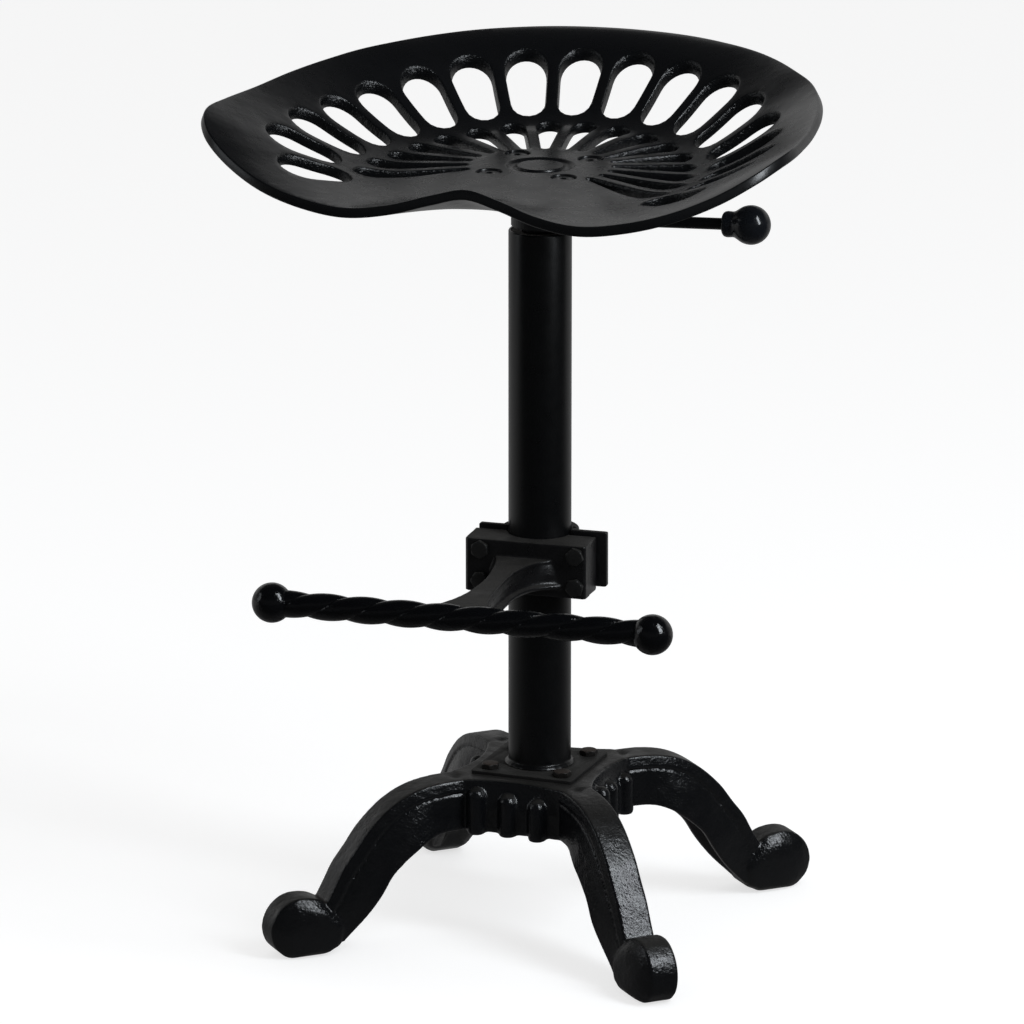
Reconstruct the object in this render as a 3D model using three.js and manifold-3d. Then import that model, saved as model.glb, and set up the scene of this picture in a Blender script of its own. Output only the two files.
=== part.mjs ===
// Tractor seat stool: a pierced, dished cast seat on a gas-lift column, a twisted footrest bar clamped to
// the column, and a cast base with four scroll-footed legs.
// Millimetres, +Z up. The front of the seat looks towards -Y and its lever points along +X.
import * as THREE from "three";
import { mergeVertices } from "three/addons/utils/BufferGeometryUtils.js";
import Module from "manifold-3d";

const wasm = await Module();
wasm.setup();

const UP = new THREE.Vector3(0, 0, 1);
const QUARTER_TURN = Math.PI / 2;

// Fits shared by all pieces
const CLEARANCE = 0.3;
const OVERRUN = 2;
const ROUND_SIDES = 32;
const HIDDEN_ROUND_SIDES = 20;
const ROD_SIDES = 12;
const KNOB_SIDES = 16;
const RIB_SIDES = 8;
const SMALL_ROUND_SIDES = 10;
const BALL_SIDES = 12;
const BALL_STEPS = 8;
const CORNER_STEPS = 2;
const MESH_TOLERANCE = 0.08;

// Fasteners, thread size 8
const BOLT_RADIUS = 4;
const BOLT_HOLE_RADIUS = 4.5;
const HEX_ACROSS_FLATS = 13;
const HEX_CHAMFER = 0.9;
const BOLT_HEAD_HEIGHT = 5.3;
const NUT_HEIGHT = 6.5;
const BOLT_STAND_OUT = 3;
const WASHER_RADIUS = 8;
const WASHER_THICKNESS = 1.5;

// Base casting: hub
const LEG_COUNT = 4;
const BASE_TURN = THREE.MathUtils.degToRad(-1.94);
const HUB_TOP = 129;
const HUB_TOP_WALL = 12;
const HUB_TOP_REACH = 48;
const HUB_TOP_FLARE = 9;
const HUB_WALL_REACH = 60;
const HUB_WALL_FLARE = 0.6;
const HUB_SKIRT_DROP = 19;
const HUB_WALL_DROP = 41;
const HUB_WALL = 8;
const HUB_BORE_RADIUS = 18;
const SKIRT_SHARES = [[0, 0], [0.3, 0.17], [0.65, 0.58], [0.89, 0.84], [1, 1]];
const WEB_POINT_SHARES = [-1, -0.6, -0.2, 0.2, 0.6, 1];
const RIB_RADIUS = 8;
const RIB_STAND_OUT = 4.5;
const RIB_SPACING = 26;
const RIB_SPRING_DROP = 15;
const RIB_BOTTOM_DROP = 44;
const RIB_COUNT = 3;
const RIB_DOME_STEPS = 2;

// Base casting: legs and scroll feet
const FOOT_REACH = 237;
const LEG_ROOT_OVERLAP = 7.7;
const LEG_TOP_HALF = 12.6;
const BAND_HALF = 14;
const BAND_DEPTH = 8;
const GROOVE_HALF = 13;
const GROOVE_DEPTH = 10;
const LEG_SIDE_HALF = 14;
const LEG_SIDE_FLARE = 1.5;
const SIDE_DEPTH = 12.5;
const LEG_LIP_HALF = 14;
const LEG_LIP_FLARE = 8;
const LEG_WAIST_SHARE = 0.5;
const LEG_WAIST_FLARE_SHARE = 0.6;
const LEG_FLARE_START_SHARE = 0.35;
const LEG_FLARE_END_SHARE = 0.4;
const LEG_WALL = 7;
const LEG_ROOF = 9;
const CHANNEL_HALF = 7;
const CHANNEL_END_SHARE = 0.7;
const LEG_STEPS = 9;
// Along the leg from its root in the hub to the back of the foot, and up to the hub's top.
const LEG_TOP_SHARES = [
  [0, 1], [0.261, 0.996], [0.468, 0.961], [0.649, 0.88], [0.811, 0.752],
  [0.918, 0.628], [1.01, 0.527], [1.072, 0.426], [1.136, 0.326],
];
const LEG_UNDER_SHARES = [
  [0, 0.682], [0.235, 0.682], [0.369, 0.651], [0.487, 0.589], [0.577, 0.527],
  [0.658, 0.457], [0.748, 0.333], [0.865, 0.202], [1.018, 0.07],
];
const FOOT_HEIGHT = 48.5;
const FOOT_LENGTH = 62;
const FOOT_HALF = 19;
// The foot's sides swell from its outer band: the size of each outline and its distance from the middle.
const FOOT_SWELL_SHARES = [[0.45, 1], [0.74, 0.9], [0.85, 0.7], [0.96, 0.65], [1, 0.57]];
const FOOT_SWELL_ALONG_SHARE = 0.2;
const FOOT_SWELL_UP_SHARE = 0.25;
const FOOT_SHARES = [
  [0.24, 0.87], [0.4, 0.97], [0.6, 1], [0.76, 0.95], [0.89, 0.82], [0.968, 0.66], [1, 0.474],
  [0.975, 0.29], [0.9, 0.14], [0.726, 0], [0.306, 0], [0.177, 0.052], [0.032, 0.186], [0, 0.577],
];

// Base plate and column
const PLATE_SIDE = 85;
const PLATE_THICKNESS = 3.5;
const PLATE_CORNER = 1.5;
const BASE_BOLT_REACH = 30.5;
const COLUMN_RADIUS = 25;
const COLUMN_WALL = 2;
const COLUMN_TOP = 570;
const COLUMN_WELD = 3;
const WELD_HOLLOW_SHARE = 0.33;
const COLUMN_RIM = 0.8;
const BUSH_LENGTH = 95;
const BUSH_SINK = 0.5;

// Gas lift
const CYLINDER_RADIUS = 14;
const CYLINDER_WALL = 2;
const CYLINDER_STAND_OUT = 20;
const CYLINDER_TOP_RADIUS = 13.4;
const CYLINDER_HEAD = 15;
const CYLINDER_CHAMFER = 0.8;
const BEARING_RADIUS = 14;
const BEARING_HEIGHT = 9;
const BEARING_GROOVE = 2;
const BEARING_RACE = 3;
const BEARING_WASHER_RADIUS = 13;
const BEARING_WASHER_THICKNESS = 2;
const BUFFER_RADIUS = 12;
const BUFFER_HEIGHT = 16;
const BUFFER_CHAMFER = 2;
const ROD_RADIUS = 5;
const STUD_RADIUS = 4;
const STUD_STAND_OUT = 10;
const ROD_TOP = 392;
const CLIP_OUTER_RADIUS = 8;
const CLIP_THICKNESS = 1.2;
const CLIP_GROOVE_DEPTH = 1;
const CLIP_OPENING = THREE.MathUtils.degToRad(70);
const PISTON_HEIGHT = 15;
const PISTON_STUD_RADIUS = 3.5;
const ROD_GUIDE_HEIGHT = 15;
const BUTTON_RADIUS = 4;
const BUTTON_STAND_OUT = 5;
const BUTTON_LENGTH = 29;
const BUTTON_CHAMFER = 0.8;

// Seat mechanism
const MECHANISM_PLATE_LENGTH = 110;
const MECHANISM_PLATE_WIDTH = 105;
const MECHANISM_PLATE_THICKNESS = 3.5;
const MECHANISM_PLATE_CORNER = 8;
const HOUSING_HALF_LENGTH = 38;
const HOUSING_HALF_WIDTH = 23;
const HOUSING_HEIGHT = 32;
const HOUSING_WALL = 2.5;
const SOCKET_RADIUS = 19;
const SOCKET_HEIGHT = 18;
const PIVOT_RADIUS = 2.5;
const PIVOT_REACH = 24;

// Lever
const LEVER_RADIUS = 4.65;
const LEVER_RISE = THREE.MathUtils.degToRad(2.4);
const LEVER_LINE_RISE = 9.6;
const LEVER_INNER_REACH = 6;
const LEVER_BEND_START = 14;
const LEVER_BEND_END = 62;
const LEVER_BEND_SHARES = [[0, 0], [0.2, 0.05], [0.42, 0.27], [0.62, 0.58], [0.83, 0.9], [1, 1]];
const LEVER_SLOT_PLAY = 3;
const KNOB_CENTRE_REACH = 173;
const KNOB_RADIUS = 15.5;
// The collar and the neck that blends it into the ball, from the rod's side: radius and place along the axis.
const KNOB_NECK_SHARES = [
  [0.516, -1.561], [0.594, -1.523], [0.652, -1.432], [0.671, -1.323], [0.677, -1], [0.71, -0.852],
  [0.787, -0.684], [0.865, -0.529], [0.929, -0.381], [0.981, -0.194],
];
const KNOB_DOME_STEPS = 6;
const KNOB_BORE_PAST_CENTRE = 3;

// Seat casting
const SEAT_RISE = 51.5;
const SEAT_THICKNESS = 8;
const SEAT_HALF_WIDTH = 240;
const SEAT_BACK_REACH = 213;
const SEAT_BACK_RISE = 67;
const SEAT_PAD_LENGTH = 100;
const SEAT_PAD_WIDTH = 96;
const SEAT_PAD_DEPTH = 4;
const SEAT_PAD_CORNER = 16;
// The rim's right half from the middle of the back round to the middle of the front.
const SEAT_RIM_SHARES = [
  [0, 1, 1], [0.229, 0.972, 0.993], [0.408, 0.897, 0.978], [0.517, 0.831, 0.96], [0.617, 0.737, 0.94],
  [0.708, 0.624, 0.918], [0.796, 0.502, 0.885], [0.867, 0.338, 0.851], [0.925, 0.127, 0.821],
  [0.967, -0.127, 0.791], [0.992, -0.352, 0.799], [1, -0.507, 0.799], [0.983, -0.596, 0.754],
  [0.933, -0.69, 0.627], [0.833, -0.775, 0.418], [0.692, -0.854, 0.216], [0.542, -0.892, 0.082],
  [0.396, -0.901, 0.022], [0.25, -0.883, 0.082], [0.1125, -0.854, 0.216], [0, -0.845, 0.306],
];
const RIM_STEPS = 48;
const RIM_ROUNDING_STEPS = 4;
const SLOPE_PROBE_SHARE = 0.125;
const MEDALLION_FLAT_RADIUS = 45;
const PAN_RADIUS = 109;
const PAN_BACK_HEIGHT = 7;
const PAN_FRONT_HEIGHT = -2;
const PAN_TILT_POWER = 4;
const SIDE_FRONT_STEEPNESS = 3;
const SIDE_BACK_STEEPNESS = 0.1;
const SIDE_STEEPNESS_LIMIT = 1.05;
const TOP_RING_SHARES = [0, 0.5, 1];
const SIDE_RING_SHARES = [0.28, 0.52, 0.76, 1];
const UNDER_RING_SHARES = [0.5, 1];
const UNDER_SIDE_RING_SHARES = [0.33, 0.66, 1];
const MEDALLION_OUTER_RADIUS = 27;
const MEDALLION_INNER_RADIUS = 18.5;
const MEDALLION_GROOVE = 2;
const MEDALLION_CHAMFER = 2.5;
const SCREW_SPACING_X = 61;
const SCREW_SPACING_Y = 67;
const SCREW_SINK_RADIUS = 10;
const SCREW_SINK_DEPTH = 3.6;
const SCREW_HEAD_HEIGHT = 2.5;
const SCREW_SOCKET_RADIUS = 2.3;
const SCREW_SOCKET_DEPTH = 1.5;

// Seat slots: an outer fan of long slots and an inner fan of teardrops that point at the middle
const SLOT_PITCH = THREE.MathUtils.degToRad(15.1);
const OUTER_SLOT_COUNT = 18;
const OUTER_SLOT_START_SHARE = 0.603;
const OUTER_SLOT_END_SHARE = 0.858;
const OUTER_SLOT_LIMIT_SHARE = 0.667;
const SLOT_BRIDGE = 10.5;
const INNER_SLOT_COUNT = 17;
const INNER_SLOT_TIP_REACH = 57;
const INNER_SLOT_END_SHARE = 0.555;
const SLOT_END_STEPS = 2;

// Footrest casting
const FOOTREST_TURN = THREE.MathUtils.degToRad(2.5);
const BLOCK_HALF_WIDTH = 48.5;
const BLOCK_FRONT = 38;
const BLOCK_BACK = 6;
const BLOCK_BOTTOM = 281.5;
const BLOCK_HEIGHT = 43;
const BLOCK_ROUNDING = 1.5;
const CLAMP_BOLT_REACH = 39;
const CLAMP_BOLT_RISES = [9.5, 35];
const NICK_DEPTH = 4;
const NICK_REACH = 30;
const NICK_HALF = 4;
const NICK_SIDES = 3;
const ARM_HALF = 23.5;
const ARM_RISE_AT_BLOCK = 30;
const ARM_RISE_AT_BAR = 40.5;
const ARM_DEPTH_AT_BLOCK = 21;
const ARM_DEPTH_AT_BAR = 18;
const ARM_FLANGE = 5;
const ARM_WEB_HALF = 4;
const ARM_SHARES = [
  [0, 1], [0.06, 0.84], [0.13, 0.66], [0.22, 0.48], [0.34, 0.377], [0.48, 0.4], [0.62, 0.48],
  [0.76, 0.62], [0.88, 0.79], [1, 1],
];
const BAR_REACH = 216;
const BAR_RISE = 31.3;
const BAR_LOBE_RADIUS = 8.7;
const BAR_LOBE_OFFSET = 2.05;
const BAR_TWIST_LEAD = 63;
const BAR_STEPS_PER_LEAD = 10;
const BAR_SIDES = 10;
const BALL_SPACING = 305;
const BALL_RADIUS = 15.75;

// Clamp strap behind the column
const STRAP_THICKNESS = 6;
const STRAP_HALF_WIDTH = 51.5;
const STRAP_EAR_BACK = 4;
const STRAP_RISE = 1;
const STRAP_HEIGHT = 44.5;

// A closed geometry as a solid for cutting and joining, and back again.
function solidOf(geometry) {
  const bare = geometry.clone();
  bare.deleteAttribute("normal");
  bare.deleteAttribute("uv");
  const merged = mergeVertices(bare);
  const corner = merged.index.array;
  const triVerts = [];
  for (let i = 0; i < corner.length; i += 3) {
    const [a, b, c] = corner.subarray(i, i + 3);
    // Faces that shrink to a line on the axis of a turned body are left out.
    if (a !== b && b !== c && c !== a) triVerts.push(a, b, c);
  }
  return new wasm.Manifold(
    new wasm.Mesh({
      numProp: 3,
      vertProperties: merged.attributes.position.array,
      triVerts: new Uint32Array(triVerts),
    }),
  );
}

function geometryOf(solid) {
  const mesh = solid.simplify(MESH_TOLERANCE).getMesh();
  const geometry = new THREE.BufferGeometry();
  geometry.setAttribute("position", new THREE.BufferAttribute(mesh.vertProperties, mesh.numProp));
  geometry.setIndex(new THREE.BufferAttribute(mesh.triVerts, 1));
  geometry.computeVertexNormals();
  return geometry;
}

function join(pieces) {
  return geometryOf(pieces.map(solidOf).reduce((whole, piece) => whole.add(piece)));
}

function cut(body, cutters) {
  return geometryOf(cutters.map(solidOf).reduce((rest, cutter) => rest.subtract(cutter), solidOf(body)));
}

// A skin of triangles over shared points, turned to face outwards.
function skin(points, faces) {
  const across = new THREE.Vector3();
  const volume = faces.reduce(
    (sum, [a, b, c]) => sum + points[a].dot(across.crossVectors(points[b], points[c])),
    0,
  );
  const outward = volume < 0 ? faces.map(([a, b, c]) => [c, b, a]) : faces;
  const geometry = new THREE.BufferGeometry().setFromPoints(points);
  geometry.setIndex(outward.flat());
  geometry.computeVertexNormals();
  return geometry;
}

// Triangles that fill a flat ring of points, all turned the way the ring runs.
function fill(ring) {
  const normal = new THREE.Vector3();
  ring.forEach((point, i) => normal.add(point.clone().cross(ring[(i + 1) % ring.length])));
  const flatten = new THREE.Quaternion().setFromUnitVectors(normal.normalize(), UP);
  const flat = ring.map((point) => {
    const turned = point.clone().applyQuaternion(flatten);
    return new THREE.Vector2(turned.x, turned.y);
  });
  return THREE.ShapeUtils.triangulateShape(flat, []).map(([a, b, c]) =>
    THREE.ShapeUtils.area([flat[a], flat[b], flat[c]]) > 0 ? [a, b, c] : [c, b, a],
  );
}

// A closed body over a row of rings that have the same number of points.
function loft(rings) {
  const count = rings[0].length;
  const last = (rings.length - 1) * count;
  const faces = fill(rings[0]).map(([a, b, c]) => [c, b, a]);
  for (let start = 0; start < last; start += count) {
    for (let i = 0; i < count; i++) {
      const next = (i + 1) % count;
      faces.push([start + i, start + next, start + count + next]);
      faces.push([start + i, start + count + next, start + count + i]);
    }
  }
  fill(rings.at(-1)).forEach(([a, b, c]) => faces.push([last + a, last + b, last + c]));
  return skin(rings.flat(), faces);
}

// A body turned about the Z axis from a profile of [radius, height] points.
function turned(profile, sides) {
  const points = profile.map(([radius, height]) => new THREE.Vector2(radius, height));
  if (THREE.ShapeUtils.isClockWise(points)) points.reverse();
  return new THREE.LatheGeometry(points, sides).rotateX(QUARTER_TURN);
}

// A ring turned about the Z axis: its profile closes on itself.
function turnedRing(profile, sides) {
  return turned([...profile, profile[0]], sides);
}

function post(radius, bottom, top, sides) {
  return new THREE.CylinderGeometry(radius, radius, top - bottom, sides)
    .rotateX(QUARTER_TURN)
    .translate(0, 0, (top + bottom) / 2);
}

function block(minX, maxX, minY, maxY, minZ, maxZ) {
  return new THREE.BoxGeometry(maxX - minX, maxY - minY, maxZ - minZ).translate(
    (maxX + minX) / 2,
    (maxY + minY) / 2,
    (maxZ + minZ) / 2,
  );
}

function roundedRectangle(length, width, corner) {
  const x = length / 2 - corner;
  const y = width / 2 - corner;
  const points = corners(x, y).flatMap(([centreX, centreY], turn) =>
    Array.from({ length: CORNER_STEPS + 1 }, (_, i) => {
      const angle = (turn + i / CORNER_STEPS) * QUARTER_TURN;
      return new THREE.Vector2(centreX + corner * Math.cos(angle), centreY + corner * Math.sin(angle));
    }),
  );
  return new THREE.Shape(points);
}

function roundHole(x, y, radius) {
  const hole = new THREE.Path();
  hole.absarc(x, y, radius, 0, Math.PI * 2, true);
  return hole;
}

function slab(shape, bottom, thickness, curveSegments) {
  return new THREE.ExtrudeGeometry(shape, { depth: thickness, bevelEnabled: false, curveSegments }).translate(
    0,
    0,
    bottom,
  );
}

// Places at the corners of a rectangle, in the order right back, left back, left front, right front.
function corners(reachX, reachY) {
  return [[reachX, reachY], [-reachX, reachY], [-reachX, -reachY], [reachX, -reachY]];
}

const hexRadius = HEX_ACROSS_FLATS / 2 / Math.cos(Math.PI / 6);

function hexRing(radius, height) {
  return Array.from({ length: 6 }, (_, i) =>
    new THREE.Vector3(radius, 0, height).applyAxisAngle(UP, (i * Math.PI) / 3),
  );
}

// A hexagon bolt: its seating face lies at height 0, the head above and the shank below.
function hexBolt(length) {
  const head = loft([
    hexRing(hexRadius, 0),
    hexRing(hexRadius, BOLT_HEAD_HEIGHT - HEX_CHAMFER),
    hexRing(hexRadius - HEX_CHAMFER, BOLT_HEAD_HEIGHT),
  ]);
  const shank = turned(
    [[0, -length], [BOLT_RADIUS - HEX_CHAMFER, -length], [BOLT_RADIUS, HEX_CHAMFER - length],
      [BOLT_RADIUS, HEX_CHAMFER], [0, HEX_CHAMFER]],
    SMALL_ROUND_SIDES,
  );
  return join([head, shank]);
}

// A hexagon nut whose upper face lies at height 0.
function hexNut() {
  const body = loft([
    hexRing(hexRadius - HEX_CHAMFER, -NUT_HEIGHT),
    hexRing(hexRadius, HEX_CHAMFER - NUT_HEIGHT),
    hexRing(hexRadius, 0),
  ]);
  return cut(body, [post(BOLT_RADIUS + CLEARANCE, -NUT_HEIGHT - OVERRUN, OVERRUN, SMALL_ROUND_SIDES)]);
}

function washer(outerRadius, innerRadius, bottom, thickness, sides) {
  const top = bottom + thickness;
  return turnedRing(
    [[innerRadius, bottom], [outerRadius, bottom], [outerRadius, top], [innerRadius, top]],
    sides,
  );
}

// One level of the hub's outline: a wall between each two legs, bowed outwards at its ends by the flare.
function hubRing(reach, flare, height) {
  const span = reach + flare - BAND_HALF * Math.SQRT2;
  return Array.from({ length: LEG_COUNT }, (_, web) =>
    WEB_POINT_SHARES.map((share) =>
      new THREE.Vector3(reach + flare * share ** 2, span * share, height).applyAxisAngle(
        UP,
        web * QUARTER_TURN,
      ),
    ),
  ).flat();
}

function hubBody() {
  const skirt = SKIRT_SHARES.map(([down, out]) =>
    hubRing(
      THREE.MathUtils.lerp(HUB_TOP_REACH, HUB_WALL_REACH, out),
      THREE.MathUtils.lerp(HUB_TOP_FLARE, HUB_WALL_FLARE, out),
      THREE.MathUtils.lerp(HUB_TOP, HUB_TOP - HUB_SKIRT_DROP, down),
    ),
  );
  return loft([...skirt, hubRing(HUB_WALL_REACH, HUB_WALL_FLARE, HUB_TOP - HUB_WALL_DROP)]);
}

const ribSpring = HUB_TOP - RIB_SPRING_DROP;
const ribBottom = HUB_TOP - RIB_BOTTOM_DROP;

// A half-round rib with a domed top on the hub's wall.
function hubRib(along) {
  const profile = [[0, ribBottom], [RIB_RADIUS, ribBottom], [RIB_RADIUS, ribSpring]];
  for (let i = 1; i <= RIB_DOME_STEPS; i++) {
    const angle = (i / RIB_DOME_STEPS) * QUARTER_TURN;
    profile.push([RIB_RADIUS * Math.cos(angle), ribSpring + RIB_RADIUS * Math.sin(angle)]);
  }
  profile.at(-1)[0] = 0;
  return turned(profile, RIB_SIDES).translate(
    HUB_WALL_REACH + RIB_STAND_OUT - RIB_RADIUS,
    along,
    0,
  );
}

// A place on a leg's crest or underside, in the upright plane through the leg.
function legPlace([out, up]) {
  const root = (HUB_WALL_REACH + HUB_WALL_FLARE) * Math.SQRT2 - BAND_HALF - LEG_ROOT_OVERLAP;
  return new THREE.Vector2(THREE.MathUtils.lerp(root, FOOT_REACH - FOOT_LENGTH, out), up * HUB_TOP);
}

// The hollow under the hub, with a corridor into each leg's channel.
function hubHollow() {
  const wall = HUB_WALL_REACH - HUB_WALL;
  const corridor = CHANNEL_HALF * Math.SQRT2;
  const legEnd = legPlace(LEG_TOP_SHARES[1]).x * Math.SQRT1_2;
  const side = [
    [legEnd, corridor - legEnd], [wall, corridor - wall], [wall, wall - corridor], [legEnd, legEnd - corridor],
  ];
  const middle = new THREE.Vector2();
  const outline = Array.from({ length: LEG_COUNT }, (_, web) =>
    side.map(([out, along]) => new THREE.Vector2(out, along).rotateAround(middle, web * QUARTER_TURN)),
  ).flat();
  const bottom = ribBottom - OVERRUN;
  return slab(new THREE.Shape(outline), bottom, HUB_TOP - HUB_TOP_WALL - bottom, 1);
}

// One leg along +X: a channel section, open below, that follows the crest and the underside. Its sides
// flare out below, between the hub and the foot.
function leg() {
  const crestLine = new THREE.SplineCurve(LEG_TOP_SHARES.map(legPlace));
  const underLine = new THREE.SplineCurve(LEG_UNDER_SHARES.map(legPlace));
  const rings = [];
  for (let i = 0; i <= LEG_STEPS; i++) {
    const along = i / LEG_STEPS;
    const crest = crestLine.getPoint(along);
    const drop = underLine.getPoint(along).sub(crest);
    const depth = drop.length();
    drop.normalize();
    const closing = THREE.MathUtils.smoothstep(along, CHANNEL_END_SHARE, 1);
    const roof = THREE.MathUtils.lerp(LEG_ROOF, depth - LEG_ROOF / 2, closing);
    const opening = THREE.MathUtils.smoothstep(along, 0, LEG_FLARE_START_SHARE);
    const flare = opening * THREE.MathUtils.lerp(1, LEG_FLARE_END_SHARE, closing);
    const side = LEG_SIDE_HALF + flare * LEG_SIDE_FLARE;
    const lip = LEG_LIP_HALF + flare * LEG_LIP_FLARE;
    const waist = [
      THREE.MathUtils.lerp(side, lip, LEG_WAIST_FLARE_SHARE),
      THREE.MathUtils.lerp(SIDE_DEPTH, depth, LEG_WAIST_SHARE),
    ];
    const half = [
      [LEG_TOP_HALF, 0], [BAND_HALF, BAND_DEPTH], [GROOVE_HALF, GROOVE_DEPTH], [side, SIDE_DEPTH], waist,
      [lip, depth], [lip - LEG_WALL, depth], [CHANNEL_HALF, roof],
    ];
    const mirrored = half.map(([side, down]) => [-side, down]).reverse();
    rings.push(
      [...half, ...mirrored].map(
        ([side, down]) => new THREE.Vector3(crest.x + drop.x * down, side, crest.y + drop.y * down),
      ),
    );
  }
  return loft(rings);
}

// One scroll foot along +X: a narrow outer band between two sides that swell like shallow domes.
function foot() {
  const middle = new THREE.Vector3(
    FOOT_REACH - FOOT_LENGTH * (1 - FOOT_SWELL_ALONG_SHARE),
    0,
    FOOT_HEIGHT * FOOT_SWELL_UP_SHARE,
  );
  const outline = FOOT_SHARES.map(
    ([along, up]) => new THREE.Vector3(FOOT_REACH - FOOT_LENGTH * (1 - along), 0, up * FOOT_HEIGHT),
  );
  const ring = (size, side) => outline.map((point) => point.clone().lerp(middle, 1 - size).setY(side));
  const near = FOOT_SWELL_SHARES.map(([size, out]) => ring(size, -out * FOOT_HALF));
  const far = FOOT_SWELL_SHARES.map(([size, out]) => ring(size, out * FOOT_HALF));
  return loft([...near, ...far.reverse()]);
}

function baseCasting() {
  const turns = Array.from({ length: LEG_COUNT }, (_, i) => i * QUARTER_TURN);
  const ribs = turns.flatMap((turn) =>
    Array.from({ length: RIB_COUNT }, (_, i) =>
      hubRib((i - (RIB_COUNT - 1) / 2) * RIB_SPACING).rotateZ(turn),
    ),
  );
  const hub = cut(join([hubBody(), ...ribs]), [hubHollow()]);
  const legs = turns.flatMap((turn) => {
    const bearing = turn + QUARTER_TURN / 2;
    return [leg().rotateZ(bearing), foot().rotateZ(bearing)];
  });
  const hollowTop = HUB_TOP - HUB_TOP_WALL;
  const bolts = corners(BASE_BOLT_REACH, BASE_BOLT_REACH).map(([x, y]) =>
    post(BOLT_HOLE_RADIUS, hollowTop - OVERRUN, HUB_TOP + OVERRUN, SMALL_ROUND_SIDES).translate(x, y, 0),
  );
  const bore = post(HUB_BORE_RADIUS, hollowTop - OVERRUN, HUB_TOP + OVERRUN, HIDDEN_ROUND_SIDES);
  return cut(join([hub, ...legs]), [bore, ...bolts]);
}

function basePlate() {
  const outline = roundedRectangle(PLATE_SIDE, PLATE_SIDE, PLATE_CORNER);
  outline.holes.push(roundHole(0, 0, STUD_RADIUS + CLEARANCE));
  corners(BASE_BOLT_REACH, BASE_BOLT_REACH).forEach(([x, y]) =>
    outline.holes.push(roundHole(x, y, BOLT_HOLE_RADIUS)),
  );
  return slab(outline, HUB_TOP, PLATE_THICKNESS, SMALL_ROUND_SIDES / 2);
}

const plateTop = HUB_TOP + PLATE_THICKNESS;
const cylinderTop = COLUMN_TOP + CYLINDER_STAND_OUT;
const seatTop = COLUMN_TOP + SEAT_RISE;
const barHeight = BLOCK_BOTTOM + BAR_RISE;
const columnBore = COLUMN_RADIUS - COLUMN_WALL;

function columnTube() {
  return turnedRing(
    [
      [columnBore, plateTop],
      [COLUMN_RADIUS + COLUMN_WELD, plateTop],
      [COLUMN_RADIUS + COLUMN_WELD * WELD_HOLLOW_SHARE, plateTop + COLUMN_WELD * WELD_HOLLOW_SHARE],
      [COLUMN_RADIUS, plateTop + COLUMN_WELD],
      [COLUMN_RADIUS, COLUMN_TOP - COLUMN_RIM],
      [COLUMN_RADIUS - COLUMN_RIM, COLUMN_TOP],
      [columnBore, COLUMN_TOP],
    ],
    ROUND_SIDES,
  );
}

function guideBush() {
  const top = COLUMN_TOP - BUSH_SINK;
  return washer(
    columnBore - CLEARANCE,
    CYLINDER_RADIUS + CLEARANCE,
    top - BUSH_LENGTH,
    BUSH_LENGTH,
    HIDDEN_ROUND_SIDES,
  );
}

const bearingTop = plateTop + BEARING_HEIGHT;
const rodShoulder = bearingTop + BEARING_WASHER_THICKNESS;
const bufferTop = rodShoulder + BUFFER_HEIGHT;
const cylinderBottom = bufferTop + CLEARANCE;
const cylinderBore = CYLINDER_RADIUS - CYLINDER_WALL;
const clipTop = HUB_TOP - CLEARANCE;

function thrustBearing() {
  const inner = STUD_RADIUS + CLEARANCE;
  const groove = BEARING_RADIUS - BEARING_GROOVE;
  return turnedRing(
    [
      [inner, plateTop],
      [BEARING_RADIUS, plateTop],
      [BEARING_RADIUS, plateTop + BEARING_RACE],
      [groove, plateTop + BEARING_RACE],
      [groove, bearingTop - BEARING_RACE],
      [BEARING_RADIUS, bearingTop - BEARING_RACE],
      [BEARING_RADIUS, bearingTop],
      [inner, bearingTop],
    ],
    HIDDEN_ROUND_SIDES,
  );
}

function rubberBuffer() {
  return turnedRing(
    [
      [ROD_RADIUS + CLEARANCE, rodShoulder],
      [BUFFER_RADIUS, rodShoulder],
      [BUFFER_RADIUS, bufferTop - BUFFER_CHAMFER],
      [BUFFER_RADIUS - BUFFER_CHAMFER, bufferTop],
      [ROD_RADIUS + CLEARANCE, bufferTop],
    ],
    HIDDEN_ROUND_SIDES,
  );
}

function pistonRod() {
  const grooveRadius = STUD_RADIUS - CLIP_GROOVE_DEPTH;
  const grooveBottom = clipTop - CLIP_THICKNESS - CLEARANCE;
  const grooveTop = clipTop + CLEARANCE / 2;
  return turned(
    [
      [0, HUB_TOP - STUD_STAND_OUT],
      [STUD_RADIUS, HUB_TOP - STUD_STAND_OUT],
      [STUD_RADIUS, grooveBottom],
      [grooveRadius, grooveBottom],
      [grooveRadius, grooveTop],
      [STUD_RADIUS, grooveTop],
      [STUD_RADIUS, rodShoulder],
      [ROD_RADIUS, rodShoulder],
      [ROD_RADIUS, ROD_TOP],
      [PISTON_STUD_RADIUS, ROD_TOP],
      [PISTON_STUD_RADIUS, ROD_TOP + PISTON_HEIGHT],
      [0, ROD_TOP + PISTON_HEIGHT],
    ],
    ROD_SIDES,
  );
}

function retainingClip() {
  const shape = new THREE.Shape();
  const inner = STUD_RADIUS - CLIP_GROOVE_DEPTH + CLEARANCE;
  const start = CLIP_OPENING / 2;
  const end = 2 * Math.PI - start;
  shape.absarc(0, 0, CLIP_OUTER_RADIUS, start, end, false);
  shape.absarc(0, 0, inner, end, start, true);
  return slab(shape, clipTop - CLIP_THICKNESS, CLIP_THICKNESS, SMALL_ROUND_SIDES / 2);
}

function pistonHead() {
  return washer(
    cylinderBore - CLEARANCE,
    PISTON_STUD_RADIUS + CLEARANCE,
    ROD_TOP,
    PISTON_HEIGHT,
    HIDDEN_ROUND_SIDES,
  );
}

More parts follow.
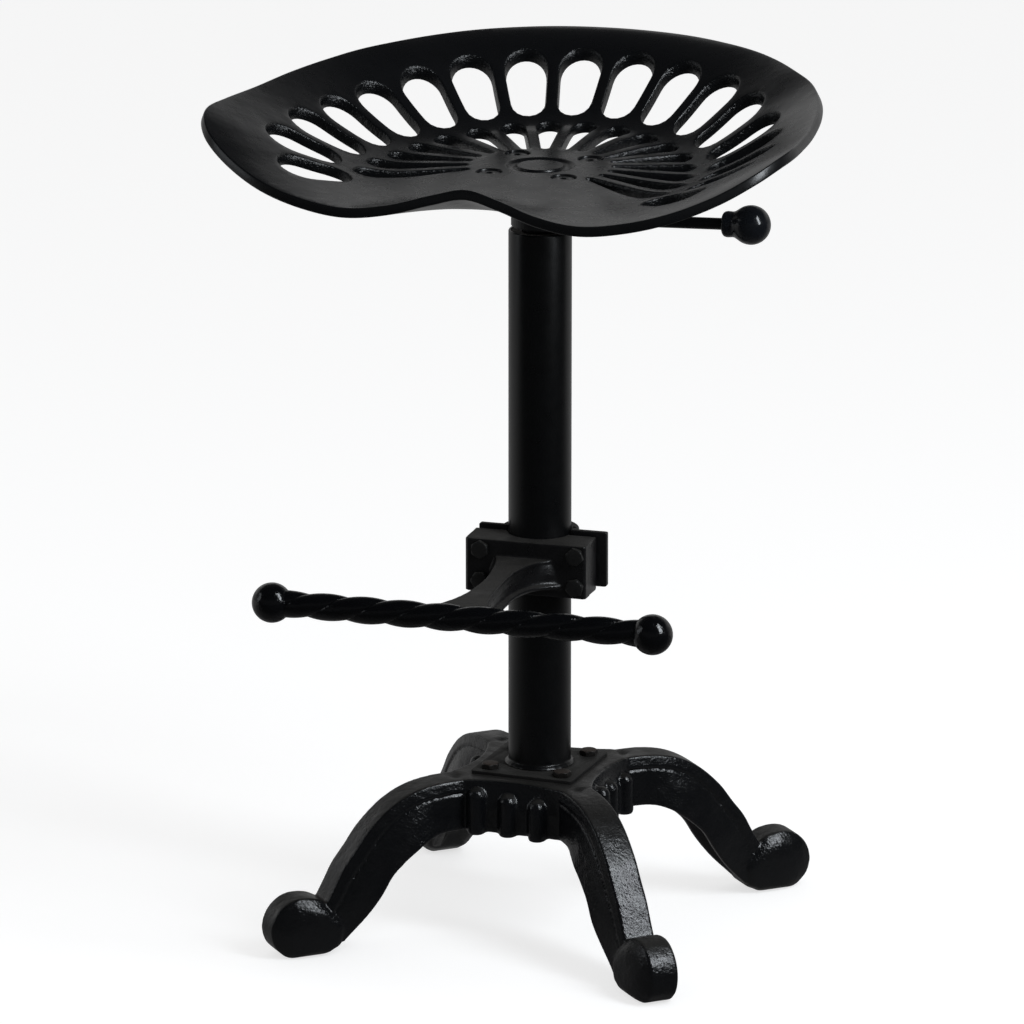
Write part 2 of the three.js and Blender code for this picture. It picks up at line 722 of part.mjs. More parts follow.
function gasCylinder() {
  const buttonHole = BUTTON_RADIUS + CLEARANCE;
  const headBottom = cylinderTop - CYLINDER_HEAD;
  return turnedRing(
    [
      [cylinderBore, cylinderBottom],
      [CYLINDER_RADIUS - CYLINDER_CHAMFER, cylinderBottom],
      [CYLINDER_RADIUS, cylinderBottom + CYLINDER_CHAMFER],
      [CYLINDER_RADIUS, cylinderTop - SOCKET_HEIGHT],
      [CYLINDER_TOP_RADIUS, cylinderTop - CYLINDER_CHAMFER],
      [CYLINDER_TOP_RADIUS - CYLINDER_CHAMFER, cylinderTop],
      [buttonHole, cylinderTop],
      [buttonHole, headBottom],
      [cylinderBore, headBottom],
    ],
    HIDDEN_ROUND_SIDES,
  );
}

function rodGuide() {
  return washer(
    cylinderBore - CLEARANCE,
    ROD_RADIUS + CLEARANCE,
    cylinderBottom + CYLINDER_CHAMFER,
    ROD_GUIDE_HEIGHT,
    HIDDEN_ROUND_SIDES,
  );
}

const buttonTop = cylinderTop + BUTTON_STAND_OUT;

function releaseButton() {
  return turned(
    [
      [0, buttonTop - BUTTON_LENGTH],
      [BUTTON_RADIUS, buttonTop - BUTTON_LENGTH],
      [BUTTON_RADIUS, buttonTop - BUTTON_CHAMFER],
      [BUTTON_RADIUS - BUTTON_CHAMFER, buttonTop],
      [0, buttonTop],
    ],
    ROD_SIDES,
  );
}

const padBottom = seatTop - SEAT_THICKNESS - SEAT_PAD_DEPTH;
const mechanismPlateBottom = padBottom - MECHANISM_PLATE_THICKNESS;
const housingBottom = mechanismPlateBottom - HOUSING_HEIGHT;
const leverArmHeight = buttonTop + LEVER_RADIUS + CLEARANCE;

function mechanismPlate() {
  const outline = roundedRectangle(MECHANISM_PLATE_LENGTH, MECHANISM_PLATE_WIDTH, MECHANISM_PLATE_CORNER);
  corners(SCREW_SPACING_X / 2, SCREW_SPACING_Y / 2).forEach(([x, y]) =>
    outline.holes.push(roundHole(x, y, BOLT_HOLE_RADIUS)),
  );
  return slab(outline, mechanismPlateBottom, MECHANISM_PLATE_THICKNESS, SMALL_ROUND_SIDES / 2);
}

// A welded tray that carries the socket in its floor and the lever between its long walls.
function mechanismHousing() {
  const x = HOUSING_HALF_LENGTH;
  const y = HOUSING_HALF_WIDTH;
  const floor = housingBottom + HOUSING_WALL;
  const top = mechanismPlateBottom;
  const slotHalf = LEVER_RADIUS + LEVER_SLOT_PLAY;
  const slotBottom = leverHeightAt(x) - slotHalf;
  return cut(block(-x, x, -y, y, housingBottom, top), [
    block(HOUSING_WALL - x, x - HOUSING_WALL, HOUSING_WALL - y, y - HOUSING_WALL, floor, top + OVERRUN),
    block(x - HOUSING_WALL - OVERRUN, x + OVERRUN, -slotHalf, slotHalf, slotBottom, top + OVERRUN),
    post(SOCKET_RADIUS + CLEARANCE, housingBottom - OVERRUN, floor + OVERRUN, HIDDEN_ROUND_SIDES),
    pivotCutter(),
  ]);
}

function pivotCutter() {
  const reach = HOUSING_HALF_WIDTH + OVERRUN;
  return post(PIVOT_RADIUS + CLEARANCE, -reach, reach, SMALL_ROUND_SIDES)
    .rotateX(QUARTER_TURN)
    .translate(PIVOT_REACH, 0, leverHeightAt(PIVOT_REACH));
}

function pivotPin() {
  return post(PIVOT_RADIUS, -HOUSING_HALF_WIDTH, HOUSING_HALF_WIDTH, SMALL_ROUND_SIDES)
    .rotateX(QUARTER_TURN)
    .translate(PIVOT_REACH, 0, leverHeightAt(PIVOT_REACH));
}

function taperSocket() {
  return turnedRing(
    [
      [CYLINDER_RADIUS + CLEARANCE, housingBottom],
      [SOCKET_RADIUS, housingBottom],
      [SOCKET_RADIUS, housingBottom + SOCKET_HEIGHT],
      [CYLINDER_TOP_RADIUS + CLEARANCE, housingBottom + SOCKET_HEIGHT],
    ],
    HIDDEN_ROUND_SIDES,
  );
}

// The lever's centre line: level over the button, then bent down to a straight outer stretch.
function leverLineAt(reach) {
  return COLUMN_TOP + LEVER_LINE_RISE + reach * Math.tan(LEVER_RISE);
}

function leverPath() {
  const bendEndHeight = leverLineAt(LEVER_BEND_END);
  const bend = LEVER_BEND_SHARES.map(([along, down]) => [
    THREE.MathUtils.lerp(LEVER_BEND_START, LEVER_BEND_END, along),
    THREE.MathUtils.lerp(leverArmHeight, bendEndHeight, down),
  ]);
  const end = KNOB_CENTRE_REACH + KNOB_BORE_PAST_CENTRE - CLEARANCE;
  return [[-LEVER_INNER_REACH, leverArmHeight], ...bend, [end, leverLineAt(end)]];
}

function leverHeightAt(reach) {
  const path = leverPath();
  const next = path.findIndex(([along]) => along >= reach);
  const [startReach, startHeight] = path[next - 1];
  const [endReach, endHeight] = path[next];
  return THREE.MathUtils.mapLinear(reach, startReach, endReach, startHeight, endHeight);
}

function leverRod() {
  const path = leverPath().map(([reach, height]) => new THREE.Vector3(reach, 0, height));
  const side = new THREE.Vector3(0, 1, 0);
  const rings = path.map((centre, i) => {
    const before = path[Math.max(i - 1, 0)];
    const after = path[Math.min(i + 1, path.length - 1)];
    const normal = after.clone().sub(before).normalize().cross(side);
    return Array.from({ length: SMALL_ROUND_SIDES }, (_, j) => {
      const angle = (j / SMALL_ROUND_SIDES) * 2 * Math.PI;
      return centre
        .clone()
        .addScaledVector(side, LEVER_RADIUS * Math.cos(angle))
        .addScaledVector(normal, LEVER_RADIUS * Math.sin(angle));
    });
  });
  return cut(loft(rings), [pivotCutter()]);
}

// A ball with a collar, bored for the rod. Its axis is the lever's outer line.
function leverKnob() {
  const neck = KNOB_NECK_SHARES.map(([radius, along]) => [radius * KNOB_RADIUS, along * KNOB_RADIUS]);
  const collarEnd = neck[0][1];
  const profile = [[0, collarEnd], ...neck];
  for (let i = 0; i < KNOB_DOME_STEPS; i++) {
    const angle = (i / KNOB_DOME_STEPS) * QUARTER_TURN;
    profile.push([KNOB_RADIUS * Math.cos(angle), KNOB_RADIUS * Math.sin(angle)]);
  }
  profile.push([0, KNOB_RADIUS]);
  const bore = post(
    LEVER_RADIUS + CLEARANCE,
    collarEnd - OVERRUN,
    KNOB_BORE_PAST_CENTRE,
    SMALL_ROUND_SIDES,
  );
  return cut(turned(profile, KNOB_SIDES), [bore])
    .rotateY(QUARTER_TURN - LEVER_RISE)
    .translate(KNOB_CENTRE_REACH, 0, leverLineAt(KNOB_CENTRE_REACH));
}

// The seat's rim as a closed curve through the right half and its mirror image.
const seatRim = (() => {
  const right = SEAT_RIM_SHARES.map(
    ([x, y, z]) => new THREE.Vector3(x * SEAT_HALF_WIDTH, y * SEAT_BACK_REACH, z * SEAT_BACK_RISE),
  );
  const left = right
    .slice(1, -1)
    .reverse()
    .map((point) => new THREE.Vector3(-point.x, point.y, point.z));
  const curve = new THREE.CatmullRomCurve3([...right, ...left], true, "centripetal");
  return curve.getSpacedPoints(RIM_STEPS).slice(0, RIM_STEPS);
})();

// The seat's upper face above the medallion, in the plane through the axis at a given rim point:
// a flat medallion, a gently rising pan and then the sides, which end at the rim.
function seatHeight(rimPoint, reach) {
  const rimReach = Math.hypot(rimPoint.x, rimPoint.y);
  const back = 0.5 + rimPoint.y / rimReach / 2;
  const steepness = Math.min(
    THREE.MathUtils.lerp(SIDE_FRONT_STEEPNESS, SIDE_BACK_STEEPNESS, back),
    SIDE_STEEPNESS_LIMIT,
  );
  const panHeight = THREE.MathUtils.lerp(PAN_FRONT_HEIGHT, PAN_BACK_HEIGHT, back ** PAN_TILT_POWER);
  const pan = THREE.MathUtils.smoothstep(reach, MEDALLION_FLAT_RADIUS, PAN_RADIUS);
  const side = THREE.MathUtils.clamp((reach - PAN_RADIUS) / (rimReach - PAN_RADIUS), 0, 1);
  const climb = side ** 2 * (3 - 2 * side) + steepness * (side ** 3 - side ** 2);
  return panHeight * pan + (rimPoint.z - panHeight) * climb;
}

// One spoke of the seat's skin, from the edge of the flat medallion over the rim and back underneath.
function seatSpoke(rimPoint) {
  const rimReach = Math.hypot(rimPoint.x, rimPoint.y);
  const outward = new THREE.Vector3(rimPoint.x, rimPoint.y, 0).normalize();
  const middleOf = (reach) =>
    outward.clone().multiplyScalar(reach).setZ(seatTop + seatHeight(rimPoint, reach) - SEAT_THICKNESS / 2);
  const probe = SEAT_THICKNESS * SLOPE_PROBE_SHARE;
  const slopeAt = (reach) =>
    middleOf(Math.min(reach + probe, rimReach)).sub(middleOf(reach - probe)).normalize();
  const half = SEAT_THICKNESS / 2;
  const edge = rimReach - half;
  const offset = (reach, angle) => {
    const slope = slopeAt(reach);
    const normal = slope.clone().multiplyScalar(-slope.z).add(UP).normalize();
    return middleOf(reach)
      .addScaledVector(normal, half * Math.cos(angle))
      .addScaledVector(slope, half * Math.sin(angle));
  };
  const panReaches = (shares) =>
    shares.map((share) => THREE.MathUtils.lerp(MEDALLION_FLAT_RADIUS, PAN_RADIUS, share));
  const sideReaches = (shares) => shares.map((share) => THREE.MathUtils.lerp(PAN_RADIUS, edge, share));
  const top = [...panReaches(TOP_RING_SHARES), ...sideReaches(SIDE_RING_SHARES)];
  const under = [
    MEDALLION_FLAT_RADIUS,
    ...panReaches(UNDER_RING_SHARES),
    ...sideReaches(UNDER_SIDE_RING_SHARES),
  ];
  const points = top.map((reach) => offset(reach, 0));
  for (let i = 1; i < RIM_ROUNDING_STEPS; i++) points.push(offset(edge, (i / RIM_ROUNDING_STEPS) * Math.PI));
  under.reverse().forEach((reach) => points.push(offset(reach, Math.PI)));
  const flat = outward.clone().multiplyScalar(MEDALLION_FLAT_RADIUS);
  points[0].copy(flat).setZ(seatTop);
  points.at(-1).copy(flat).setZ(seatTop - SEAT_THICKNESS);
  return points;
}

// The distance from the axis to the rim in a direction measured from the back.
function rimReachAt(angle) {
  const wrap = (value) => Math.atan2(Math.sin(value), Math.cos(value));
  for (let i = 0; i < RIM_STEPS; i++) {
    const here = seatRim[i];
    const next = seatRim[(i + 1) % RIM_STEPS];
    const start = wrap(Math.atan2(here.x, here.y) - angle);
    const end = wrap(Math.atan2(next.x, next.y) - angle);
    if (start <= 0 && end > 0 && end - start < Math.PI) {
      return THREE.MathUtils.mapLinear(0, start, end, Math.hypot(here.x, here.y), Math.hypot(next.x, next.y));
    }
  }
  throw new Error("the rim has no point at angle " + angle);
}

// A slot that widens outwards between two round ends, as an upright cutter along the given direction.
// Its width leaves the same bridge to the next slot of its fan at both ends.
function slotCutter(angle, start, end) {
  const spread = Math.sin(SLOT_PITCH / 2);
  const innerRadius = (start * spread - SLOT_BRIDGE / 2) / (1 - spread);
  const outerRadius = (end * spread - SLOT_BRIDGE / 2) / (1 + spread);
  const innerReach = start + innerRadius;
  const outerReach = end - outerRadius;
  const flank = Math.asin((outerRadius - innerRadius) / (outerReach - innerReach));
  const shape = new THREE.Shape();
  shape.absarc(outerReach, 0, outerRadius, -QUARTER_TURN - flank, QUARTER_TURN + flank, false);
  shape.absarc(innerReach, 0, innerRadius, QUARTER_TURN + flank, 3 * QUARTER_TURN - flank, false);
  const bottom = seatTop - SEAT_THICKNESS - SEAT_PAD_DEPTH - OVERRUN;
  return slab(shape, bottom, SEAT_BACK_RISE + SEAT_THICKNESS + SEAT_PAD_DEPTH + 2 * OVERRUN, SLOT_END_STEPS)
    .rotateZ(QUARTER_TURN - angle);
}

function outerSlot(index) {
  const angle = (index - (OUTER_SLOT_COUNT - 1) / 2) * SLOT_PITCH;
  const rimReach = rimReachAt(angle);
  const limit = OUTER_SLOT_LIMIT_SHARE * Math.hypot(SEAT_HALF_WIDTH, SEAT_BACK_REACH);
  const end = Math.min(OUTER_SLOT_END_SHARE * rimReach, limit);
  return slotCutter(angle, OUTER_SLOT_START_SHARE * rimReach, end);
}

function innerSlot(index) {
  const angle = (index - (INNER_SLOT_COUNT - 1) / 2) * SLOT_PITCH;
  return slotCutter(angle, INNER_SLOT_TIP_REACH, INNER_SLOT_END_SHARE * rimReachAt(angle));
}

// The ring pressed into the middle of the seat, with a sloping outer wall.
function medallionGroove() {
  const floor = seatTop - MEDALLION_GROOVE;
  return turnedRing(
    [
      [MEDALLION_INNER_RADIUS, floor],
      [MEDALLION_OUTER_RADIUS - MEDALLION_CHAMFER, floor],
      [MEDALLION_OUTER_RADIUS, seatTop],
      [MEDALLION_OUTER_RADIUS, seatTop + OVERRUN],
      [MEDALLION_INNER_RADIUS, seatTop + OVERRUN],
    ],
    HIDDEN_ROUND_SIDES,
  );
}

function seatCasting() {
  const spokes = seatRim.map(seatSpoke);
  const rings = spokes[0].map((_, level) => spokes.map((spoke) => spoke[level]));
  const pad = slab(
    roundedRectangle(SEAT_PAD_LENGTH, SEAT_PAD_WIDTH, SEAT_PAD_CORNER),
    padBottom,
    SEAT_PAD_DEPTH + SEAT_THICKNESS / 2,
    1,
  );
  const sinkBottom = seatTop - SCREW_SINK_DEPTH;
  const screws = corners(SCREW_SPACING_X / 2, SCREW_SPACING_Y / 2).flatMap(([x, y]) => [
    post(SCREW_SINK_RADIUS, sinkBottom, seatTop + OVERRUN, HIDDEN_ROUND_SIDES).translate(x, y, 0),
    post(BOLT_HOLE_RADIUS, padBottom - OVERRUN, seatTop, SMALL_ROUND_SIDES).translate(x, y, 0),
  ]);
  const outerSlots = Array.from({ length: OUTER_SLOT_COUNT }, (_, i) => outerSlot(i));
  const innerSlots = Array.from({ length: INNER_SLOT_COUNT }, (_, i) => innerSlot(i));
  return cut(join([loft(rings), pad]), [medallionGroove(), ...screws, ...outerSlots, ...innerSlots]);
}

// A flat-headed seat screw with a socket, its head's underside at height 0.
function seatScrew() {
  const length = seatTop - SCREW_SINK_DEPTH - mechanismPlateBottom + NUT_HEIGHT + BOLT_STAND_OUT;
  const headRadius = SCREW_SINK_RADIUS - CLEARANCE;
  const body = turned(
    [
      [0, -length],
      [BOLT_RADIUS, -length],
      [BOLT_RADIUS, 0],
      [headRadius, 0],
      [headRadius, SCREW_HEAD_HEIGHT / 2],
      [headRadius - SCREW_HEAD_HEIGHT / 2, SCREW_HEAD_HEIGHT],
      [0, SCREW_HEAD_HEIGHT],
    ],
    ROD_SIDES,
  );
  return cut(body, [
    loft([
      hexRing(SCREW_SOCKET_RADIUS, SCREW_HEAD_HEIGHT - SCREW_SOCKET_DEPTH),
      hexRing(SCREW_SOCKET_RADIUS, SCREW_HEAD_HEIGHT + OVERRUN),
    ]),
  ]);
}

const grooveRadius = COLUMN_RADIUS + CLEARANCE;

// The block that bears on the front of the column, with the bolt holes for the strap.
function clampBlock() {
  const r = BLOCK_ROUNDING;
  const edge = Math.asin(BLOCK_BACK / grooveRadius);
  const outline = new THREE.Shape();
  outline.moveTo(BLOCK_HALF_WIDTH - r, -BLOCK_BACK);
  outline.lineTo(grooveRadius * Math.cos(edge), -BLOCK_BACK);
  outline.absarc(0, 0, grooveRadius, -edge, edge - Math.PI, true);
  outline.lineTo(r - BLOCK_HALF_WIDTH, -BLOCK_BACK);
  outline.absarc(r - BLOCK_HALF_WIDTH, -BLOCK_BACK - r, r, QUARTER_TURN, 2 * QUARTER_TURN, false);
  outline.absarc(r - BLOCK_HALF_WIDTH, r - BLOCK_FRONT, r, 2 * QUARTER_TURN, 3 * QUARTER_TURN, false);
  outline.absarc(BLOCK_HALF_WIDTH - r, r - BLOCK_FRONT, r, 3 * QUARTER_TURN, 4 * QUARTER_TURN, false);
  outline.absarc(BLOCK_HALF_WIDTH - r, -BLOCK_BACK - r, r, 0, QUARTER_TURN, false);
  return slab(outline, BLOCK_BOTTOM, BLOCK_HEIGHT, SMALL_ROUND_SIDES / 2);
}

// The arm from the block to the bar: an I section, waisted in plan, that climbs to the top of the bar.
function footrestArm() {
  const start = -BLOCK_FRONT + OVERRUN;
  const rings = ARM_SHARES.map(([along, wide]) => {
    const half = ARM_HALF * wide;
    const top = BLOCK_BOTTOM + THREE.MathUtils.lerp(ARM_RISE_AT_BLOCK, ARM_RISE_AT_BAR, along);
    const bottom = top - THREE.MathUtils.lerp(ARM_DEPTH_AT_BLOCK, ARM_DEPTH_AT_BAR, along);
    const y = THREE.MathUtils.lerp(start, -BAR_REACH, along);
    const right = [
      [half, bottom], [half, bottom + ARM_FLANGE], [ARM_WEB_HALF, bottom + ARM_FLANGE],
      [ARM_WEB_HALF, top - ARM_FLANGE], [half, top - ARM_FLANGE], [half, top],
    ];
    const left = right.map(([x, z]) => [-x, z]).reverse();
    return [...right, ...left].map(([x, z]) => new THREE.Vector3(x, y, z));
  });
  return loft(rings);
}

// Two fused lobes wound round each other along X, as if a bar with two grooves had been twisted.
function twistedBar() {
  const steps = Math.round((BALL_SPACING / BAR_TWIST_LEAD) * BAR_STEPS_PER_LEAD);
  const rings = [];
  for (let i = 0; i <= steps; i++) {
    const x = (i / steps - 0.5) * BALL_SPACING;
    const twist = (x / BAR_TWIST_LEAD) * 2 * Math.PI;
    rings.push(
      Array.from({ length: BAR_SIDES }, (_, side) => {
        const angle = (side / BAR_SIDES) * 2 * Math.PI;
        const lobe = BAR_LOBE_OFFSET * Math.abs(Math.cos(angle));
        const radius = lobe + Math.sqrt(BAR_LOBE_RADIUS ** 2 - (BAR_LOBE_OFFSET * Math.sin(angle)) ** 2);
        const around = angle + twist;
        return new THREE.Vector3(
          x,
          -BAR_REACH - radius * Math.cos(around),
          barHeight + radius * Math.sin(around),
        );
      }),
    );
  }
  return loft(rings);
}

function footrestCasting() {
  const balls = [-1, 1].map((side) =>
    new THREE.SphereGeometry(BALL_RADIUS, BALL_SIDES, BALL_STEPS).translate(
      (side * BALL_SPACING) / 2,
      -BAR_REACH,
      barHeight,
    ),
  );
  const blockTop = BLOCK_BOTTOM + BLOCK_HEIGHT;
  const nick = new THREE.CylinderGeometry(NICK_HALF, NICK_HALF, 2 * NICK_DEPTH, NICK_SIDES)
    .rotateX(QUARTER_TURN)
    .translate(-NICK_REACH, -BLOCK_BACK - NICK_DEPTH, blockTop);
  return cut(join([clampBlock(), footrestArm(), twistedBar(), ...balls]), [nick, ...clampHoles()]);
}

const clampBoltPlaces = CLAMP_BOLT_RISES.flatMap((rise) =>
  [-1, 1].map((side) => [side * CLAMP_BOLT_REACH, BLOCK_BOTTOM + rise]),
);

function clampHoles() {
  return clampBoltPlaces.map(([x, z]) =>
    post(BOLT_HOLE_RADIUS, -STRAP_EAR_BACK - OVERRUN, BLOCK_FRONT + OVERRUN, SMALL_ROUND_SIDES)
      .rotateX(QUARTER_TURN)
      .translate(x, 0, z),
  );
}

function clampStrap() {
  const inner = grooveRadius;
  const outer = grooveRadius + STRAP_THICKNESS;
  const earFront = STRAP_EAR_BACK - STRAP_THICKNESS;
  const outerEdge = Math.asin(STRAP_EAR_BACK / outer);
  const innerEdge = Math.asin(-earFront / inner);
  const outline = new THREE.Shape();
  outline.moveTo(STRAP_HALF_WIDTH, earFront);
  outline.lineTo(STRAP_HALF_WIDTH, STRAP_EAR_BACK);
  outline.absarc(0, 0, outer, outerEdge, Math.PI - outerEdge, false);
  outline.lineTo(-STRAP_HALF_WIDTH, STRAP_EAR_BACK);
  outline.lineTo(-STRAP_HALF_WIDTH, earFront);
  outline.absarc(0, 0, inner, Math.PI + innerEdge, -innerEdge, true);
  return cut(slab(outline, BLOCK_BOTTOM + STRAP_RISE, STRAP_HEIGHT, SMALL_ROUND_SIDES), clampHoles());
}

// Finishes
const enamel = () => new THREE.MeshStandardMaterial({ color: 0x1c1f22, roughness: 0.45, metalness: 0.1 });
const tubePaint = () => new THREE.MeshStandardMaterial({ color: 0x17191b, roughness: 0.5, metalness: 0.1 });
const boltSteel = () => new THREE.MeshStandardMaterial({ color: 0x2b2725, roughness: 0.5, metalness: 0.7 });
const brightSteel = () => new THREE.MeshStandardMaterial({ color: 0xa9acae, roughness: 0.3, metalness: 1 });
const rodChrome = () => new THREE.MeshStandardMaterial({ color: 0xd5d8da, roughness: 0.12, metalness: 1 });
const greyPlastic = () => new THREE.MeshStandardMaterial({ color: 0x6b6762, roughness: 0.6, metalness: 0 });
const blackPlastic = () => new THREE.MeshStandardMaterial({ color: 0x15171a, roughness: 0.25, metalness: 0 });
const rubber = () => new THREE.MeshStandardMaterial({ color: 0x131313, roughness: 0.9, metalness: 0 });

function piece(name, geometry, material) {
  const mesh = new THREE.Mesh(geometry, material);
  mesh.name = name;
  return mesh;
}

const base = new THREE.Group();
base.rotation.z = BASE_TURN;
base.add(piece("base_casting", baseCasting(), enamel()));
base.add(piece("base_plate", basePlate(), tubePaint()));
const baseBoltLength = PLATE_THICKNESS + HUB_TOP_WALL + WASHER_THICKNESS + NUT_HEIGHT + BOLT_STAND_OUT;
corners(BASE_BOLT_REACH, BASE_BOLT_REACH).forEach(([x, y], i) => {
  const bolt = piece("base_bolt_" + (i + 1), hexBolt(baseBoltLength), boltSteel());
  bolt.position.set(x, y, plateTop);
  const ring = piece(
    "base_washer_" + (i + 1),
    washer(WASHER_RADIUS, BOLT_RADIUS + CLEARANCE, -WASHER_THICKNESS, WASHER_THICKNESS, SMALL_ROUND_SIDES),
    boltSteel(),
  );
  ring.position.set(x, y, HUB_TOP - HUB_TOP_WALL);
  const nut = piece("base_nut_" + (i + 1), hexNut(), boltSteel());
  nut.position.set(x, y, HUB_TOP - HUB_TOP_WALL - WASHER_THICKNESS);
  base.add(bolt, ring, nut);
});

const column = new THREE.Group();
column.add(piece("column_tube", columnTube(), tubePaint()));
column.add(piece("guide_bush", guideBush(), greyPlastic()));
column.add(piece("thrust_bearing", thrustBearing(), brightSteel()));
column.add(
  piece(
    "bearing_washer",
    washer(
      BEARING_WASHER_RADIUS,
      STUD_RADIUS + CLEARANCE,
      bearingTop,
      BEARING_WASHER_THICKNESS,
      HIDDEN_ROUND_SIDES,
    ),
    brightSteel(),
  ),
);
column.add(piece("rubber_buffer", rubberBuffer(), rubber()));
column.add(piece("piston_rod", pistonRod(), rodChrome()));
column.add(piece("retaining_clip", retainingClip(), brightSteel()));
column.add(piece("piston_head", pistonHead(), brightSteel()));
column.add(piece("gas_cylinder", gasCylinder(), tubePaint()));
column.add(piece("rod_guide", rodGuide(), brightSteel()));
column.add(piece("release_button", releaseButton(), brightSteel()));

const seat = new THREE.Group();
seat.add(piece("mechanism_plate", mechanismPlate(), tubePaint()));
seat.add(piece("mechanism_housing", mechanismHousing(), tubePaint()));
seat.add(piece("taper_socket", taperSocket(), tubePaint()));
seat.add(piece("pivot_pin", pivotPin(), brightSteel()));
seat.add(piece("lever_rod", leverRod(), tubePaint()));
seat.add(piece("lever_knob", leverKnob(), blackPlastic()));
seat.add(piece("seat", seatCasting(), enamel()));
corners(SCREW_SPACING_X / 2, SCREW_SPACING_Y / 2).forEach(([x, y], i) => {
  const screw = piece("seat_screw_" + (i + 1), seatScrew(), boltSteel());
  screw.position.set(x, y, seatTop - SCREW_SINK_DEPTH);
  const nut = piece("seat_nut_" + (i + 1), hexNut(), boltSteel());
  nut.position.set(x, y, mechanismPlateBottom);
  seat.add(screw, nut);
});

const footrest = new THREE.Group();
footrest.rotation.z = FOOTREST_TURN;
footrest.add(piece("footrest_casting", footrestCasting(), enamel()));
footrest.add(piece("clamp_strap", clampStrap(), enamel()));
const clampBoltLength = BLOCK_FRONT + STRAP_EAR_BACK + NUT_HEIGHT + BOLT_STAND_OUT;
clampBoltPlaces.forEach(([x, z], i) => {
  const bolt = piece("clamp_bolt_" + (i + 1), hexBolt(clampBoltLength), boltSteel());
  bolt.rotation.x = QUARTER_TURN;
  bolt.position.set(x, -BLOCK_FRONT - CLEARANCE, z);
  const nut = piece("clamp_nut_" + (i + 1), hexNut(), boltSteel());
  nut.rotation.x = QUARTER_TURN;
  nut.position.set(x, STRAP_EAR_BACK + CLEARANCE, z);
  footrest.add(bolt, nut);
});

// The middle of the footprint on the floor is the part's origin.
const stool = new THREE.Group();
stool.add(base, column, seat, footrest);
const extent = new THREE.Box3().setFromObject(stool, true);
stool.position.set(-(extent.min.x + extent.max.x) / 2, -(extent.min.y + extent.max.y) / 2, 0);

export default stool;
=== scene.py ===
import math

import bmesh
import bpy
import numpy as np
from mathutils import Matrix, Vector
from mathutils.geometry import delaunay_2d_cdt


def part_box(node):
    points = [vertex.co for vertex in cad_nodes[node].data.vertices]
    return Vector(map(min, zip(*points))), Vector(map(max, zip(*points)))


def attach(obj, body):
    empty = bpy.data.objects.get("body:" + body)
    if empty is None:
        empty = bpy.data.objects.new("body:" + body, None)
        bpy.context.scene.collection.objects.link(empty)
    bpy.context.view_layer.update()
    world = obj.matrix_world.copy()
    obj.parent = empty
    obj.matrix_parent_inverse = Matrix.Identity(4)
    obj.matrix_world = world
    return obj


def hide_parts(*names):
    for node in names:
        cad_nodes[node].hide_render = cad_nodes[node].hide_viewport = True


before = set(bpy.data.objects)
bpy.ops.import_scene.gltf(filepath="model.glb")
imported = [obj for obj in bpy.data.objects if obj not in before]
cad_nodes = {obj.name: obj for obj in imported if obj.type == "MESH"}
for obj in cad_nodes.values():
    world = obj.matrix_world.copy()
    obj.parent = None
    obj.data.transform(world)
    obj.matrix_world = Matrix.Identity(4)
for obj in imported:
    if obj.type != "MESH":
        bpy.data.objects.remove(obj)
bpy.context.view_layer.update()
scene = bpy.context.scene
MM = 0.001


# Base casting. One iron casting: a hollow hub with three half-round ribs on each side, and four curved
# channel legs that end in scroll feet. It is sand cast, so its edges are soft and its skin is grainy,
# and it is dipped in thick black enamel. The four feet stand on the floor by their flat soles.
column_low, column_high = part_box("column_tube")
AXIS = np.array([(column_low.x + column_high.x) / 2, (column_low.y + column_high.y) / 2, 0]) / MM
BASE_TURN = math.radians(-1.94)
QUARTER = math.pi / 2
LEG_BEARINGS = [QUARTER / 2 + number * QUARTER for number in range(4)]


def full_turn(count):
    """Evenly spaced angles all the way round."""
    return np.linspace(0, 2 * math.pi, count, endpoint=False)


def arc(radius, angles):
    """The points of a circle at the angles."""
    return [(radius * math.cos(a), radius * math.sin(a)) for a in angles]


def spline(points, count):
    """Points along a rounded line that goes through every given point."""
    points = np.asarray(points, float)
    padded = np.vstack([2 * points[0] - points[1], points, 2 * points[-1] - points[-2]])
    place = np.linspace(0, len(points) - 1, count)
    start = np.minimum(place.astype(int), len(points) - 2)
    t = (place - start)[:, None]
    a, b, c, d = (padded[start + i] for i in range(4))
    return 0.5 * (2 * b + (c - a) * t + (2 * a - 5 * b + 4 * c - d) * t**2 + (3 * b - a - 3 * c + d) * t**3)


def loft(rings):
    """A closed body over a row of rings that have the same number of points."""
    rings = np.asarray(rings, float)
    levels, count = rings.shape[:2]
    index = np.arange(levels * count).reshape(levels, count)
    here, there = index[:-1], index[1:]
    sides = np.stack([here, np.roll(here, -1, 1), np.roll(there, -1, 1), there], axis=-1)
    faces = [tuple(face) for face in sides.reshape(-1, 4)]
    return rings.reshape(-1, 3), faces + [tuple(index[0][::-1]), tuple(index[-1])]


def prism(outline, low, high):
    """An upright body with one outline between two heights."""
    return loft([[(x, y, z) for x, y in outline] for z in (low, high)])


def turned_about(points, angle):
    """The points turned about the column's axis."""
    cos, sin = math.cos(angle), math.sin(angle)
    return np.asarray(points) @ np.array([[cos, -sin, 0], [sin, cos, 0], [0, 0, 1]]).T


